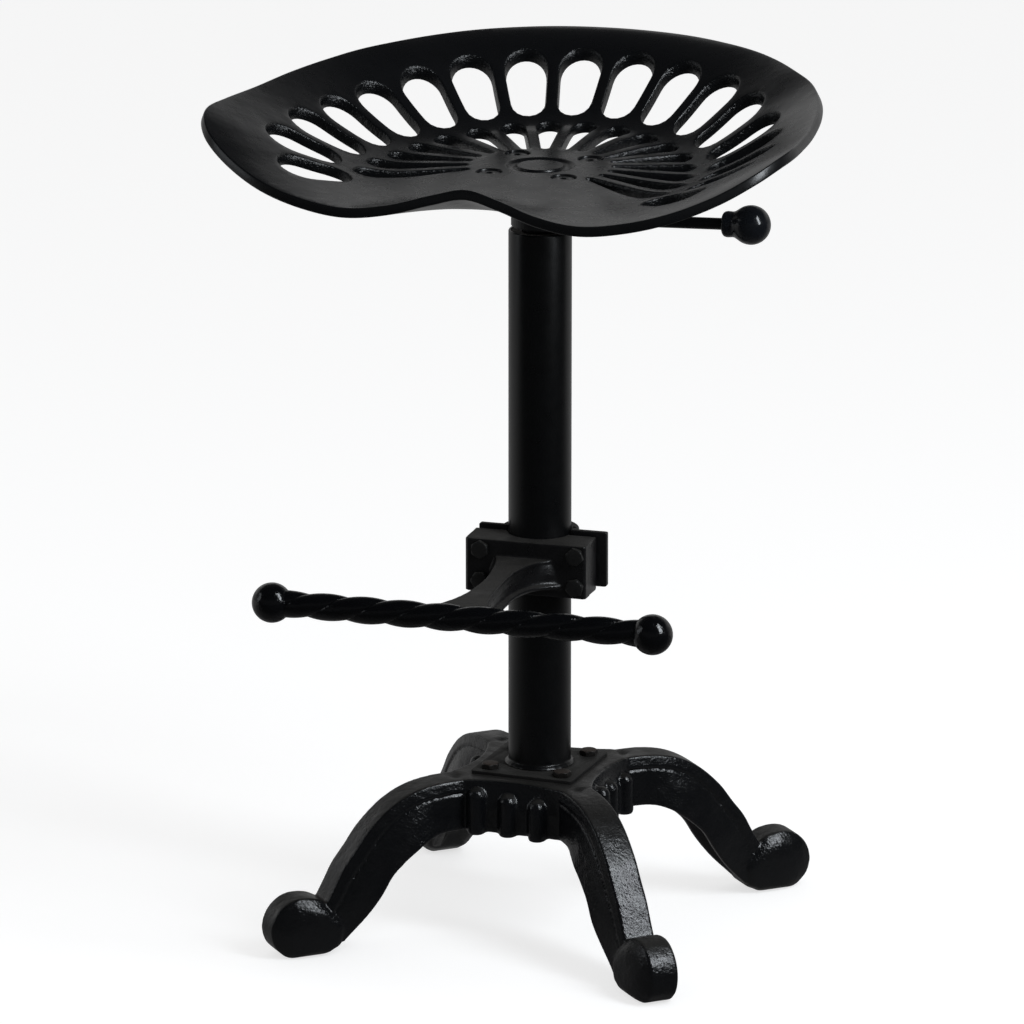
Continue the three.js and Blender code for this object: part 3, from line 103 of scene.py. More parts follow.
def mesh_piece(name, parts, smooth=True, sharp=None):
    """An object from closed bodies in millimetres about the column's axis. Sharp is an angle in degrees."""
    mould = bmesh.new()
    for points, faces in parts:
        corners = [mould.verts.new(point) for point in (np.asarray(points) + AXIS) * MM]
        for face in faces:
            mould.faces.new([corners[i] for i in face])
    bmesh.ops.recalc_face_normals(mould, faces=mould.faces)
    bmesh.ops.triangulate(mould, faces=[face for face in mould.faces if len(face.verts) > 4])
    data = bpy.data.meshes.new(name)
    mould.to_mesh(data)
    mould.free()
    data.polygons.foreach_set("use_smooth", [smooth] * len(data.polygons))
    if sharp:
        data.set_sharp_from_angle(angle=math.radians(sharp))
    piece = bpy.data.objects.new(name, data)
    scene.collection.objects.link(piece)
    return piece


def settle(piece):
    """The piece with its modifiers worked into its mesh."""
    bpy.context.view_layer.update()
    worked = bpy.data.meshes.new_from_object(piece.evaluated_get(bpy.context.evaluated_depsgraph_get()))
    piece.modifiers.clear()
    piece.data = worked
    return piece


def sand_cast(piece, grain, passes):
    """Overlapping bodies fused into one casting whose edges the sand has rounded."""
    fuse = piece.modifiers.new("fuse", "REMESH")
    fuse.mode = "VOXEL"
    fuse.voxel_size = grain * MM
    fuse.use_smooth_shade = True
    soften = piece.modifiers.new("soften", "SMOOTH")
    soften.factor = 0.5
    soften.iterations = passes
    return settle(piece)


def cut_away(piece, body):
    """The piece with a body cut out of it."""
    cutter = mesh_piece("cutter", [body])
    carve = piece.modifiers.new("carve", "BOOLEAN")
    carve.operation = "DIFFERENCE"
    carve.solver = "EXACT"
    carve.object = cutter
    settle(piece)
    bpy.data.objects.remove(cutter)


# The line of a leg's back and the line of its lower lips, each as (distance from the column, height).
LEG_CREST = [(64, 129.8), (93, 129), (116, 124.2), (136, 113.5), (154, 97), (166, 81), (176, 68), (183, 55),
             (190, 42)]
LEG_UNDER = [(64, 88), (90, 88), (105, 84), (118, 76), (128, 68), (137, 59), (147, 43), (160, 26), (177, 9)]
LEG_HALF, LEDGE = 14.6, 13


def smoothstep(value, low, high):
    """0 up to the low value, 1 from the high value, and a soft rise between them."""
    share = np.clip((value - low) / (high - low), 0, 1)
    return share * share * (3 - 2 * share)


def leg():
    """One leg along X: a channel, open below, with a flat top, a ledge along each side and flared lips."""
    steps = 60
    crest, under = spline(LEG_CREST, steps), spline(LEG_UNDER, steps)
    rings = []
    for i in range(steps):
        drop = under[i] - crest[i]
        depth = np.linalg.norm(drop)
        drop /= depth
        along = i / (steps - 1)
        closing = smoothstep(along, 0.7, 1)
        flare = smoothstep(along, 0, 0.35) * (1 - 0.75 * closing)
        side, lip = LEG_HALF + 0.9 * flare, LEG_HALF + 7.4 * flare
        roof = 9 + (depth - 13.5) * closing
        half = [(0, 0), (8, 0), (12.2, 0.1), (12.9, 0.7), (15, 8.4), (LEG_HALF, 9.5), (13.2, 10.2),
                (13.2, 11), (side - 0.2, 11.9), (side, 13.2)]
        half += [(side + out * (lip - side), LEDGE + down * (depth - LEDGE))
                 for out, down in ((0.38, 0.3), (0.62, 0.55), (0.9, 0.85))]
        half += [(lip, depth - 1.5), (lip - 1, depth - 0.2), (lip - 6, depth), (lip - 7, depth - 1),
                 (7, roof + 2), (5, roof), (0, roof)]
        outline = half + [(-side, down) for side, down in half[-2:0:-1]]
        rings.append([(crest[i][0] + drop[0] * d, side, crest[i][1] + drop[1] * d) for side, d in outline])
    return loft(rings)


FOOT_REACH, FOOT_LENGTH, FOOT_HEIGHT = 237, 62, 48.5
FOOT_SHARES = [
    (0.24, 0.87), (0.4, 0.97), (0.6, 1), (0.76, 0.95), (0.89, 0.82), (0.968, 0.66), (1, 0.474), (0.975, 0.29),
    (0.9, 0.14), (0.726, 0), (0.306, 0), (0.177, 0.052), (0.032, 0.186), (0, 0.577),
]


def foot():
    """One scroll foot along X: a narrow outer band between two sides that swell like shallow domes."""
    outline = np.array([(FOOT_REACH - FOOT_LENGTH * (1 - out), up * FOOT_HEIGHT) for out, up in FOOT_SHARES])
    fine = spline(np.vstack([outline, outline[:1]]), 85)[:-1]
    fine[:, 1] = np.maximum(fine[:, 1], 0)
    middle = np.array([FOOT_REACH - FOOT_LENGTH * 0.8, 12.1])
    shape = [(0.05, 19), (0.3, 18.9), (0.48, 18.6), (0.6, 18), (0.7, 17.1), (0.78, 16), (0.85, 14.7),
             (0.91, 13.3), (0.96, 12.1), (0.99, 11.2), (1, 10.4)]
    profile = shape + [(scale, -side) for scale, side in reversed(shape)]
    return loft([[(x, side, z) for x, z in middle + (fine - middle) * scale] for scale, side in profile])


def hub_ring(reach, flare, height):
    """One level of the hub: a bowed wall between each two legs."""
    span = reach + flare - 14 * math.sqrt(2)
    shares = np.linspace(-1, 1, 17)
    side = np.array([(reach + flare * s**2, span * s, height) for s in shares])
    return np.vstack([turned_about(side, web * QUARTER) for web in range(4)])


def hub():
    """The hub's skin, from its square top down a hollow skirt to its walls, by (reach, flare, height)."""
    skirt = spline([(0, 0), (0.06, 0.02), (0.3, 0.17), (0.65, 0.58), (0.89, 0.84), (1, 1)], 14)
    levels = [(52.5 + 7.5 * out, 8 - 7.4 * out, 130 - 20 * down) for down, out in skirt]
    levels += [(60, 0.6, height) for height in (106, 98, 90)]
    levels.append((59, 0.6, 88))
    return loft([hub_ring(*level) for level in levels])


RIB_RADIUS = 7.4


def hub_rib(along, out, spring):
    """A half-round rib on the hub's wall, with a domed top and a rounded foot."""
    profile = [(0.01, 86), (5, 86.2), (7, 87), (RIB_RADIUS, 89), (RIB_RADIUS, spring)]
    profile += [(radius, spring + up) for radius, up in arc(RIB_RADIUS, np.linspace(0.2, 1.56, 8))]
    return loft([[(out + x, along + y, z) for x, y in arc(radius, full_turn(32))] for radius, z in profile])


def hub_hollow():
    """The hollow under the hub, with a corridor into each leg."""
    corridor = 7 * math.sqrt(2)
    leg_end, wall = 0.392 * FOOT_REACH * math.sqrt(0.5), 52
    side = [(leg_end, corridor - leg_end, 0), (wall, corridor - wall, 0), (wall, wall - corridor, 0),
            (leg_end, leg_end - corridor, 0)]
    outline = np.vstack([turned_about(side, web * QUARTER) for web in range(4)])
    return prism(outline[:, :2], 78, 119)


hub_bodies = [hub()]
for web in range(4):
    off_centre = -5 if web == 3 else 5
    for along, out, spring in ((-26, 60.5, 117), (0, 58, 113.5), (26, 61, 112.5)):
        points, faces = hub_rib(along + off_centre, out, spring)
        hub_bodies.append((turned_about(points, web * QUARTER), faces))
base_casting = mesh_piece("base_skin", hub_bodies)
sand_cast(base_casting, 1.4, 0)
cut_away(base_casting, hub_hollow())
leg_bodies = []
for bearing in LEG_BEARINGS:
    for points, faces in (leg(), foot()):
        leg_bodies.append((turned_about(points, bearing), faces))
legs = mesh_piece("base_legs", leg_bodies)
joined = bmesh.new()
joined.from_mesh(base_casting.data)
joined.from_mesh(legs.data)
joined.to_mesh(base_casting.data)
joined.free()
bpy.data.objects.remove(legs)
sand_cast(base_casting, 1, 3)

# Shallow marks in the legs' tops beside the plate's corners, and the turn of the whole base.
MARK_REACH, MARK_RADIUS, MARK_DEPTH = 73, 5.5, 1.8
points = np.empty(len(base_casting.data.vertices) * 3)
base_casting.data.vertices.foreach_get("co", points)
points = points.reshape(-1, 3) / MM - AXIS
for mark in arc(MARK_REACH, LEG_BEARINGS):
    away = np.linalg.norm(points[:, :2] - mark, axis=1)
    points[:, 2] -= MARK_DEPTH * np.exp(-((away / MARK_RADIUS) ** 2)) * (points[:, 2] > 121)
points[:, 2] = np.maximum(points[:, 2], 0)
points = (turned_about(points, BASE_TURN) + AXIS) * MM
base_casting.data.vertices.foreach_set("co", points.ravel())
base_casting.data.update()


def set_socket(links, socket, value):
    """Gives a shader socket a number, or joins it to another socket."""
    if isinstance(value, (int, float)):
        socket.default_value = value
    else:
        links.new(value, socket)


def worked_out(nodes, links, operation, *values):
    """A number that the shader works out from others."""
    node = nodes.new("ShaderNodeMath")
    node.operation = operation
    for socket, value in zip(node.inputs, values):
        set_socket(links, socket, value)
    return node.outputs["Value"]


def enamel(name, colour, dusty, roughness, spread, grain, lumps, dust=0.0):
    """A coat with dust where the face looks up, and with a fine grain over slow lumps, each as (size, depth)
    in millimetres. The paints, the plastics, the rubber and the bare metals are all made of these layers."""
    material = bpy.data.materials.new(name)
    material.use_nodes = True
    nodes, links = material.node_tree.nodes, material.node_tree.links
    shader = nodes["Principled BSDF"]
    shader.inputs["IOR"].default_value = 1.5
    place = nodes.new("ShaderNodeTexCoord").outputs["Object"]

    def noise(size, detail):
        texture = nodes.new("ShaderNodeTexNoise")
        texture.inputs["Scale"].default_value = 1 / (size * MM)
        texture.inputs["Detail"].default_value = detail
        links.new(place, texture.inputs["Vector"])
        return texture.outputs["Fac"]

    def ranged(value, low, high, start=0.3, end=0.7):
        span = nodes.new("ShaderNodeMapRange")
        span.inputs["From Min"].default_value = start
        span.inputs["From Max"].default_value = end
        span.inputs["To Min"].default_value = low
        span.inputs["To Max"].default_value = high
        links.new(value, span.inputs["Value"])
        return span.outputs["Result"]

    split = nodes.new("ShaderNodeSeparateXYZ")
    links.new(nodes.new("ShaderNodeNewGeometry").outputs["Normal"], split.inputs["Vector"])
    upward = ranged(split.outputs["Z"], 0, dust, 0.6, 1)
    dusting = worked_out(nodes, links, "MULTIPLY", upward, ranged(noise(35, 4), 0.4, 1))
    tint = nodes.new("ShaderNodeMix")
    tint.data_type = "RGBA"
    tint.inputs["A"].default_value = (*colour, 1)
    tint.inputs["B"].default_value = (*dusty, 1)
    links.new(dusting, tint.inputs["Factor"])
    links.new(tint.outputs["Result"], shader.inputs["Base Color"])
    uneven = ranged(noise(12, 5), roughness - spread, roughness + spread)
    links.new(worked_out(nodes, links, "MULTIPLY_ADD", dusting, 0.8, uneven), shader.inputs["Roughness"])

    receiver = shader
    for size, depth in (grain, lumps):
        bump = nodes.new("ShaderNodeBump")
        bump.inputs["Strength"].default_value = 1
        bump.inputs["Distance"].default_value = depth * MM
        links.new(noise(size, 2), bump.inputs["Height"])
        links.new(bump.outputs["Normal"], receiver.inputs["Normal"])
        receiver = bump
    return material


DUST = (0.035, 0.032, 0.027)
base_enamel = enamel("base_enamel_finish", (0.0036, 0.004, 0.0048), DUST, roughness=0.21, spread=0.06,
                     grain=(1.7, 0.33), lumps=(8, 0.65), dust=0.45)


def finish(piece, material):
    """Gives a piece its one material."""
    piece.data.materials.clear()
    piece.data.materials.append(material)


def dress(piece, material, body, node):
    """Gives a piece its material, the body it moves with and the solid it stands for."""
    finish(piece, material)
    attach(piece, body)
    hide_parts(node)


dress(base_casting, base_enamel, "base", "base_casting")


# Base plate and its fasteners. A sheared steel plate lies on the hub under the column and is held by four
# hexagon bolts that go through the hub to washers and nuts. All of it was sprayed over after assembly, and
# a little rust comes through on the bolts.
def break_edges(piece, width, parts, sharp):
    """Bevels a piece's sharp edges, as a file or a press leaves them."""
    bevel = piece.modifiers.new("broken edges", "BEVEL")
    bevel.width = width * MM
    bevel.segments = parts
    bevel.limit_method = "ANGLE"
    bevel.angle_limit = math.radians(35)
    settle(piece)
    piece.data.polygons.foreach_set("use_smooth", [True] * len(piece.data.polygons))
    piece.data.set_sharp_from_angle(angle=math.radians(sharp))


def eased_solid(node, name, body, material, width):
    """A CAD node's own shape with its sharp edges broken."""
    data = cad_nodes[node].data.copy()
    mould = bmesh.new()
    mould.from_mesh(data)
    bmesh.ops.remove_doubles(mould, verts=mould.verts, dist=0.002 * MM)
    bmesh.ops.dissolve_limit(mould, angle_limit=math.radians(1), verts=mould.verts, edges=mould.edges)
    mould.to_mesh(data)
    mould.free()
    piece = bpy.data.objects.new(name, data)
    scene.collection.objects.link(piece)
    break_edges(piece, width, 2, 32)
    dress(piece, material, body, node)


plate_paint = enamel("plate_paint", (0.006, 0.006, 0.006), DUST, roughness=0.42, spread=0.08,
                     grain=(2.5, 0.06), lumps=(14, 0.12), dust=0.5)
eased_solid("base_plate", "plate", "base", plate_paint, 0.4)
RUST = (0.055, 0.036, 0.026)
bolt_paint = enamel("bolt_paint", (0.006, 0.005, 0.0044), RUST, roughness=0.38, spread=0.1,
                    grain=(1.6, 0.25), lumps=(4, 0.3), dust=0.6)

# The bolts are M8. The solid's head is 5.3 mm high; the heads in the photograph are flatter, like a cap of
# 4.4 mm.
ACROSS_FLATS, SOLID_HEAD = 13, 5.3


def hex_bolt(length, thread_end):
    """A hexagon bolt with a chamfered head above its seat at height 0 and a real thread below."""
    around = full_turn(48)
    outline = ACROSS_FLATS / 2 / np.cos((around + math.pi / 6) % (math.pi / 3) - math.pi / 6)
    rings = []
    pitch, radius = 1.25, 4
    for height in np.arange(-length, -0.4, pitch / 6):
        phase = (height / pitch - around / (2 * math.pi)) % 1
        depth = 0.55 * np.abs(2 * phase - 1) * (height < thread_end)
        end = max(0, -length + 1 - height)
        rings.append((radius - np.maximum(depth, end), height))
    for reach, height in ((radius, -0.2), (radius, 0), (6.1, 0), (6.1, 0.35)):
        rings.append((np.full(48, reach), height))
    for height, cap in ((0.4, 7.1), (0.8, 7.6), (3.2, 7.6), (3.7, 7.1), (4.1, 6.5), (4.4, 5.9)):
        rings.append((np.minimum(outline, cap), height))
    rings.append((np.full(48, 0.5), 4.4))
    return loft([[(r * math.cos(a), r * math.sin(a), height) for r, a in zip(reach, around)]
                 for reach, height in rings])


def in_frame(points, origin, along, side):
    """Points of a bolt or nut stood on its seat: its own Z goes along, its own X goes to the side."""
    along, side = np.asarray(along, float), np.asarray(side, float)
    return np.asarray(points) @ np.array([side, np.cross(along, side), along]) + origin


def box_middle(node):
    """The middle of a solid's box, from the column's axis."""
    low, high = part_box(node)
    return np.array((low + high) / 2) / MM - AXIS


for number in range(1, 5):
    node = "base_bolt_%d" % number
    low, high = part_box(node)
    seat_height = high.z / MM - SOLID_HEAD
    points, faces = hex_bolt(seat_height - low.z / MM, -12)
    turn = 0.4 + 1.7 * number
    origin = box_middle(node) * (1, 1, 0) + (0, 0, seat_height)
    placed = in_frame(points, origin, (0, 0, 1), (math.cos(turn), math.sin(turn), 0))
    bolt = mesh_piece("plate_bolt_%d" % number, [(placed, faces)], sharp=28)
    dress(bolt, bolt_paint, "base", node)
    for part in ("washer", "nut"):
        eased_solid("base_%s_%d" % (part, number), "plate_%s_%d" % (part, number), "base",
                    bolt_paint, 0.3)


# Column. A steel tube welded to the plate by a bead all round its foot. The tube is sprayed satin black and
# its open top carries a grey moulded bush that guides the gas spring. Its foot houses the thrust bearing.
def lathe(profile, sides=96, ripples=None):
    """A body turned about the column's axis from (radius, height) points that close on themselves. The
    ripples, one for each point, are the depth of a weld bead's waves there."""
    around = full_turn(sides)
    rings = []
    for (radius, height), ripple in zip(profile, ripples or [0] * len(profile)):
        reach = radius + ripple * np.sin(around * 31 + 2 * np.sin(around * 5))
        rings.append(np.stack([reach * np.cos(around), reach * np.sin(around), 0 * around + height], axis=1))
    count = len(rings)
    index = np.arange(count * sides).reshape(count, sides)
    faces = []
    for i in range(count):
        here, there = index[i], index[(i + 1) % count]
        faces += list(zip(here, np.roll(here, -1), np.roll(there, -1), there))
    return np.vstack(rings), faces


tube_paint = enamel("tube_paint", (0.0018, 0.002, 0.0024), DUST, roughness=0.3, spread=0.03,
                    grain=(3.5, 0.03), lumps=(40, 0.05))
plate_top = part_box("base_plate")[1].z / MM
tube_top = column_high.z / MM
TUBE_RADIUS, TUBE_BORE = 25, 23
bead = [(27.4, 0, 0.2), (27.8, 0.8, 0.25), (27.2, 1.7, 0.25), (26.2, 2.4, 0.2), (25.3, 3, 0.12),
        (TUBE_RADIUS, 3.4, 0.05)]
tube_profile = [(TUBE_BORE, plate_top)] + [(radius, plate_top + up) for radius, up, _ in bead]
tube_profile += [(TUBE_RADIUS, height) for height in (plate_top + 5, 250, 400, tube_top - 1.2)]
tube_profile += [(24.8, tube_top - 0.6), (24.3, tube_top), (23.3, tube_top)]
tube_profile += [(TUBE_BORE, height) for height in (tube_top - 0.4, tube_top - 100, 300)]
ripples = [0] + [ripple for _, _, ripple in bead]
ripples += [0] * (len(tube_profile) - len(ripples))
tube = mesh_piece("tube", [lathe(tube_profile, ripples=ripples)], sharp=50)
dress(tube, tube_paint, "base", "column_tube")

bush_plastic = enamel("bush_plastic_finish", (0.12, 0.11, 0.1), (0.16, 0.15, 0.13), roughness=0.55,
                      spread=0.05, grain=(2, 0.02), lumps=(20, 0.05), dust=0.4)
bush = mesh_piece("bush", [lathe([
    (14.3, tube_top - 95.5), (22.7, tube_top - 95.5), (22.7, tube_top - 1.2), (22.3, tube_top - 0.5),
    (16, tube_top - 0.5), (14.9, tube_top - 1.1), (14.3, tube_top - 2.2)])], sharp=40)
dress(bush, bush_plastic, "base", "guide_bush")


def bare_metal(*coat, **surface):
    """A coat turned into bare metal."""
    material = enamel(*coat, **surface)
    material.node_tree.nodes["Principled BSDF"].inputs["Metallic"].default_value = 1
    return material


bright_steel = bare_metal("bright_steel_finish", (0.5, 0.5, 0.5), (0.4, 0.38, 0.35), roughness=0.3,
                          spread=0.06, grain=(4, 0.01), lumps=(20, 0.02))
finish(cad_nodes["thrust_bearing"], bright_steel)


# Gas spring. Its cylinder slides up through the bush and carries the seat; its rod stands on the thrust
# bearing and is held under the plate by a clip. The cylinder is sprayed black, the rod is chrome plated.
cylinder_low, cylinder_high = (corner.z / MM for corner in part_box("gas_cylinder"))
SPRING_RADIUS, SPRING_BORE, BUTTON_BORE = 14, 12, 4.3
cylinder = mesh_piece("cylinder", [lathe([
    (SPRING_BORE, cylinder_low), (13.2, cylinder_low), (SPRING_RADIUS, cylinder_low + 0.8),
    (SPRING_RADIUS, 300), (SPRING_RADIUS, 450), (SPRING_RADIUS, cylinder_high - 18),
    (13.4, cylinder_high - 0.8), (12.6, cylinder_high), (BUTTON_BORE, cylinder_high),
    (BUTTON_BORE, cylinder_high - 15), (SPRING_BORE, cylinder_high - 15)], 64)], sharp=30)
dress(cylinder, tube_paint, "seat_lift", "gas_cylinder")
rod_chrome = bare_metal("rod_chrome_finish", (0.6, 0.61, 0.62), (0.6, 0.6, 0.6), roughness=0.1,
                        spread=0.03, grain=(6, 0.004), lumps=(30, 0.01))
buffer_rubber = enamel("buffer_rubber_finish", (0.012, 0.012, 0.012), DUST, roughness=0.8, spread=0.05,
                       grain=(1.5, 0.05), lumps=(8, 0.1))
for node in ("piston_head", "rod_guide", "bearing_washer", "retaining_clip", "release_button"):
    finish(cad_nodes[node], bright_steel)
finish(cad_nodes["piston_rod"], rod_chrome)
finish(cad_nodes["rubber_buffer"], buffer_rubber)


# Seat mechanism. A pressed plate is screwed under the seat, with a welded tray below it that holds the taper
# socket of the gas spring and, on a cross pin, the lever. The pressings are black, the pin is bright steel.
pressing_paint = enamel("pressing_paint", (0.007, 0.0075, 0.0085), DUST, roughness=0.4, spread=0.06,
                        grain=(2.5, 0.04), lumps=(14, 0.08))
eased_solid("mechanism_plate", "under_plate", "seat_lift", pressing_paint, 0.5)
tray_low, tray_high = (np.array(corner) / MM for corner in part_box("mechanism_housing"))
tray_end, tray_side = tray_high[0], (tray_high[1] - tray_low[1]) / 2
SHEET_WALL, SOCKET_HOLE, LEVER_GAP, GAP_SILL, THROUGH = 2.5, 19.1, 7.7, 573.5, 5


def tray_body(inward, low, high):
    """The tray's plan, round at the end behind the socket and square where the lever comes out."""
    reach, end = tray_side - inward, tray_end - inward
    outline = [(end, -reach), (end, reach), *arc(reach, np.linspace(0.5, 1.5, 25) * math.pi)]
    return prism(outline, low, high)


tray = mesh_piece("lever_tray", [tray_body(0, tray_low[2], tray_high[2])], smooth=False)
cut_away(tray, tray_body(SHEET_WALL, tray_low[2] + SHEET_WALL, tray_high[2] + THROUGH))
cut_away(tray, prism(arc(SOCKET_HOLE, full_turn(48)), tray_low[2] - THROUGH, tray_low[2] + THROUGH))
lever_gap = [(tray_end - THROUGH, -LEVER_GAP), (tray_end + THROUGH, -LEVER_GAP),
             (tray_end + THROUGH, LEVER_GAP), (tray_end - THROUGH, LEVER_GAP)]
cut_away(tray, prism(lever_gap, GAP_SILL, tray_high[2] + THROUGH))
dress(tray, pressing_paint, "seat_lift", "mechanism_housing")
socket_low, socket_high = (corner.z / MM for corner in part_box("taper_socket"))
socket = mesh_piece("socket", [lathe([
    (14.3, socket_low), (18.5, socket_low), (19, socket_low + 0.5), (19, socket_high - 0.5),
    (18.5, socket_high), (13.7, socket_high)], 64)], sharp=30)
dress(socket, pressing_paint, "seat_lift", "taper_socket")
finish(cad_nodes["pivot_pin"], bright_steel)


# Lever. A round steel rod, cranked inside the tray so that its inner end lies on the gas spring's button,
# with a black ball knob driven on its outer end. The rod is sprayed black; the ball is moulded and glossy.
def swept(path, radius):
    """A round rod along a path in the XZ plane, with rounded ends."""
    path = np.asarray(path, float)
    forward = np.gradient(path, axis=0)
    forward /= np.linalg.norm(forward, axis=1)[:, None]
    rings = []
    for (x, z), (fx, fz) in zip(path, forward):
        rings.append([(x - fz * up, side, z + fx * up) for side, up in arc(radius, full_turn(32))])
    caps = []
    for end, sign in ((0, -1), (-1, 1)):
        x, z = path[end]
        fx, fz = forward[end] * sign
        centre = np.array([x, 0, z])
        ring = np.array(rings[end])
        caps.append([centre + (ring - centre) * share + np.array([fx, 0, fz]) * out
                     for share, out in ((0.97, 0.25), (0.85, 0.4), (0.05, 0.4))])
    return loft([*reversed(caps[0]), *rings, *caps[1]])


RISE, LEVER_LINE, ROD_RADIUS = math.radians(2.4), 579.6, 4.65
BEND_START, BEND_END = 14, 62


def lever_height(out):
    """Height of the lever's straight outer part, which rises gently to the knob."""
    return LEVER_LINE + out * math.tan(RISE)


# The inner end lies a quarter of a millimetre above the solid's, to press less into the button when pulled.
rod_low, rod_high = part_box("lever_rod")
arm_height = rod_high.z / MM - ROD_RADIUS + 0.25
inner_end, rod_end = rod_low.x / MM - AXIS[0] + 0.5, rod_high.x / MM - AXIS[0] - 0.5
climb = lever_height(BEND_END) - arm_height
bend = [(BEND_START + (BEND_END - BEND_START) * along, arm_height + climb * down)
        for along, down in ((0, 0), (0.2, 0.05), (0.42, 0.27), (0.62, 0.58), (0.83, 0.9), (1, 1))]
outer = [(x, lever_height(x)) for x in (80, 110, 145, rod_end)]
lever_path = [(inner_end, arm_height), *spline([(4, arm_height), *bend, *outer], 90)]
lever = mesh_piece("lever", [swept(lever_path, ROD_RADIUS)], sharp=40)
dress(lever, tube_paint, "lever", "lever_rod")

KNOB_OUT, BALL_RADIUS, ROD_HOLE = 173, 15.5, 4.8
neck = [(8, -22.2), (8.9, -21.9), (9.7, -21.1), (10.1, -20), (10.3, -18.6), (10.2, -16.8), (10.1, -15.2),
        (10.15, -13.8), (10.5, -12.6), (11.2, -11.3), (12.1, -9.9), (13.35, -7.9), (14.45, -5.6),
        (15.2, -3.05)]
knob_profile = [(ROD_HOLE, neck[0][1]), *spline(neck, 40), *arc(BALL_RADIUS, np.linspace(-0.05, 1.5, 24)),
                (0.02, BALL_RADIUS), (0.02, 2.8), (ROD_HOLE, 2.8)]
points, faces = lathe(knob_profile, 64)
knob_centre = (KNOB_OUT, 0, lever_height(KNOB_OUT))
points = in_frame(points, knob_centre, (math.cos(RISE), 0, math.sin(RISE)), (0, 1, 0))
knob = mesh_piece("knob", [(points, faces)])
knob_plastic = enamel("knob_gloss", (0.006, 0.007, 0.009), DUST, roughness=0.2, spread=0.07,
                      grain=(3, 0.12), lumps=(8, 0.3))
dress(knob, knob_plastic, "lever", "lever_knob")


# Seat. One dished iron casting on the pattern of an old farm tractor's seat: a flat medallion and pan, sides
# that climb to a rim high at the back, low beside the thighs and raised to a pommel in front. Two fans of
# slots pierce it; its skin is ground smooth and enamelled, but the slots' walls keep the sand's grain.
SEAT_TOP, SEAT_HALF, PAN_REACH = 621.5, 4, 109
BACK_REACH, RIM_HEIGHT = 212.7, 66.5

# Points of the rim's right half from the back to the front, as shares of the seat's half width, of its reach
# to the back and of the rim's height.
RIM_SHARES = [
    (0, 1, 1), (0.229, 0.972, 0.993), (0.408, 0.897, 0.978), (0.517, 0.831, 0.96), (0.617, 0.737, 0.94),
    (0.708, 0.624, 0.918), (0.796, 0.502, 0.885), (0.867, 0.338, 0.851), (0.925, 0.127, 0.821),
    (0.967, -0.127, 0.791), (0.992, -0.352, 0.799), (1, -0.507, 0.799), (0.983, -0.596, 0.754),
    (0.933, -0.69, 0.627), (0.833, -0.775, 0.418), (0.692, -0.854, 0.216), (0.542, -0.892, 0.082),
    (0.396, -0.901, 0.022), (0.25, -0.883, 0.082), (0.1125, -0.854, 0.216), (0, -0.845, 0.306),
]


def closed_line(points, steps):
    """A closed bowed line through the points, with its bends spread by the square root of their distance."""
    points = np.asarray(points, float)
    line = []
    for i in range(len(points)):
        near = [points[(i + k - 1) % len(points)] for k in range(4)]
        knot = np.cumsum([0] + [np.linalg.norm(near[k + 1] - near[k]) ** 0.5 for k in range(3)])
        for t in np.linspace(knot[1], knot[2], steps, endpoint=False):
            mix = near
            for span in (1, 2):
                mix = [(mix[k] * (knot[k + span] - t) + mix[k + 1] * (t - knot[k]))
                       / (knot[k + span] - knot[k]) for k in range(4 - span)]
            line.append((mix[0] * (knot[2] - t) + mix[1] * (t - knot[1])) / (knot[2] - knot[1]))
    return np.array(line)


half_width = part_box("seat")[1].x / MM - 1.2
right_half = np.array(RIM_SHARES) * (half_width, BACK_REACH, RIM_HEIGHT)
left_half = right_half[-2:0:-1] * (-1, 1, 1)
rim = closed_line(np.vstack([right_half, left_half]), 24)
rim_bearing = np.unwrap(np.arctan2(rim[:, 0], rim[:, 1]))
rim_reach = np.hypot(rim[:, 0], rim[:, 1])


def at_rim(values, bearing):
    """A value along the rim in a direction measured from the back, clockwise from above."""
    return np.interp(np.mod(bearing, 2 * math.pi), rim_bearing, values, period=2 * math.pi)


def seat_middle(bearing, reach):
    """Height of the middle of the seat's wall."""
    edge, top = at_rim(rim_reach, bearing), at_rim(rim[:, 2], bearing)
    back = 0.5 + np.cos(bearing) / 2
    steep = np.minimum(3 - 2.9 * back, 1.05)
    pan = -2 + 9 * back**4
    side = np.clip((reach - PAN_REACH) / (edge - PAN_REACH), 0, 1)
    climb = side**2 * (3 - 2 * side) + steep * (side**3 - side**2)
    return SEAT_TOP - SEAT_HALF + pan * smoothstep(reach, 45, PAN_REACH) + (top - pan) * climb


def seat_slope(bearing, reach):
    """Angle at which the wall climbs outwards."""
    reach = np.minimum(reach, at_rim(rim_reach, bearing))
    step = seat_middle(bearing, reach) - seat_middle(bearing, reach - 1)
    return np.arctan(step)


def seat_face(x, y, side):
    """Height of the upper face (side 1) or the lower face (side -1) above a point of the plan."""
    bearing, reach = np.arctan2(x, y), np.hypot(x, y)
    middle = reach
    for _ in range(6):
        middle = reach + side * SEAT_HALF * np.sin(seat_slope(bearing, middle))
    return seat_middle(bearing, middle) + side * SEAT_HALF * np.cos(seat_slope(bearing, middle))


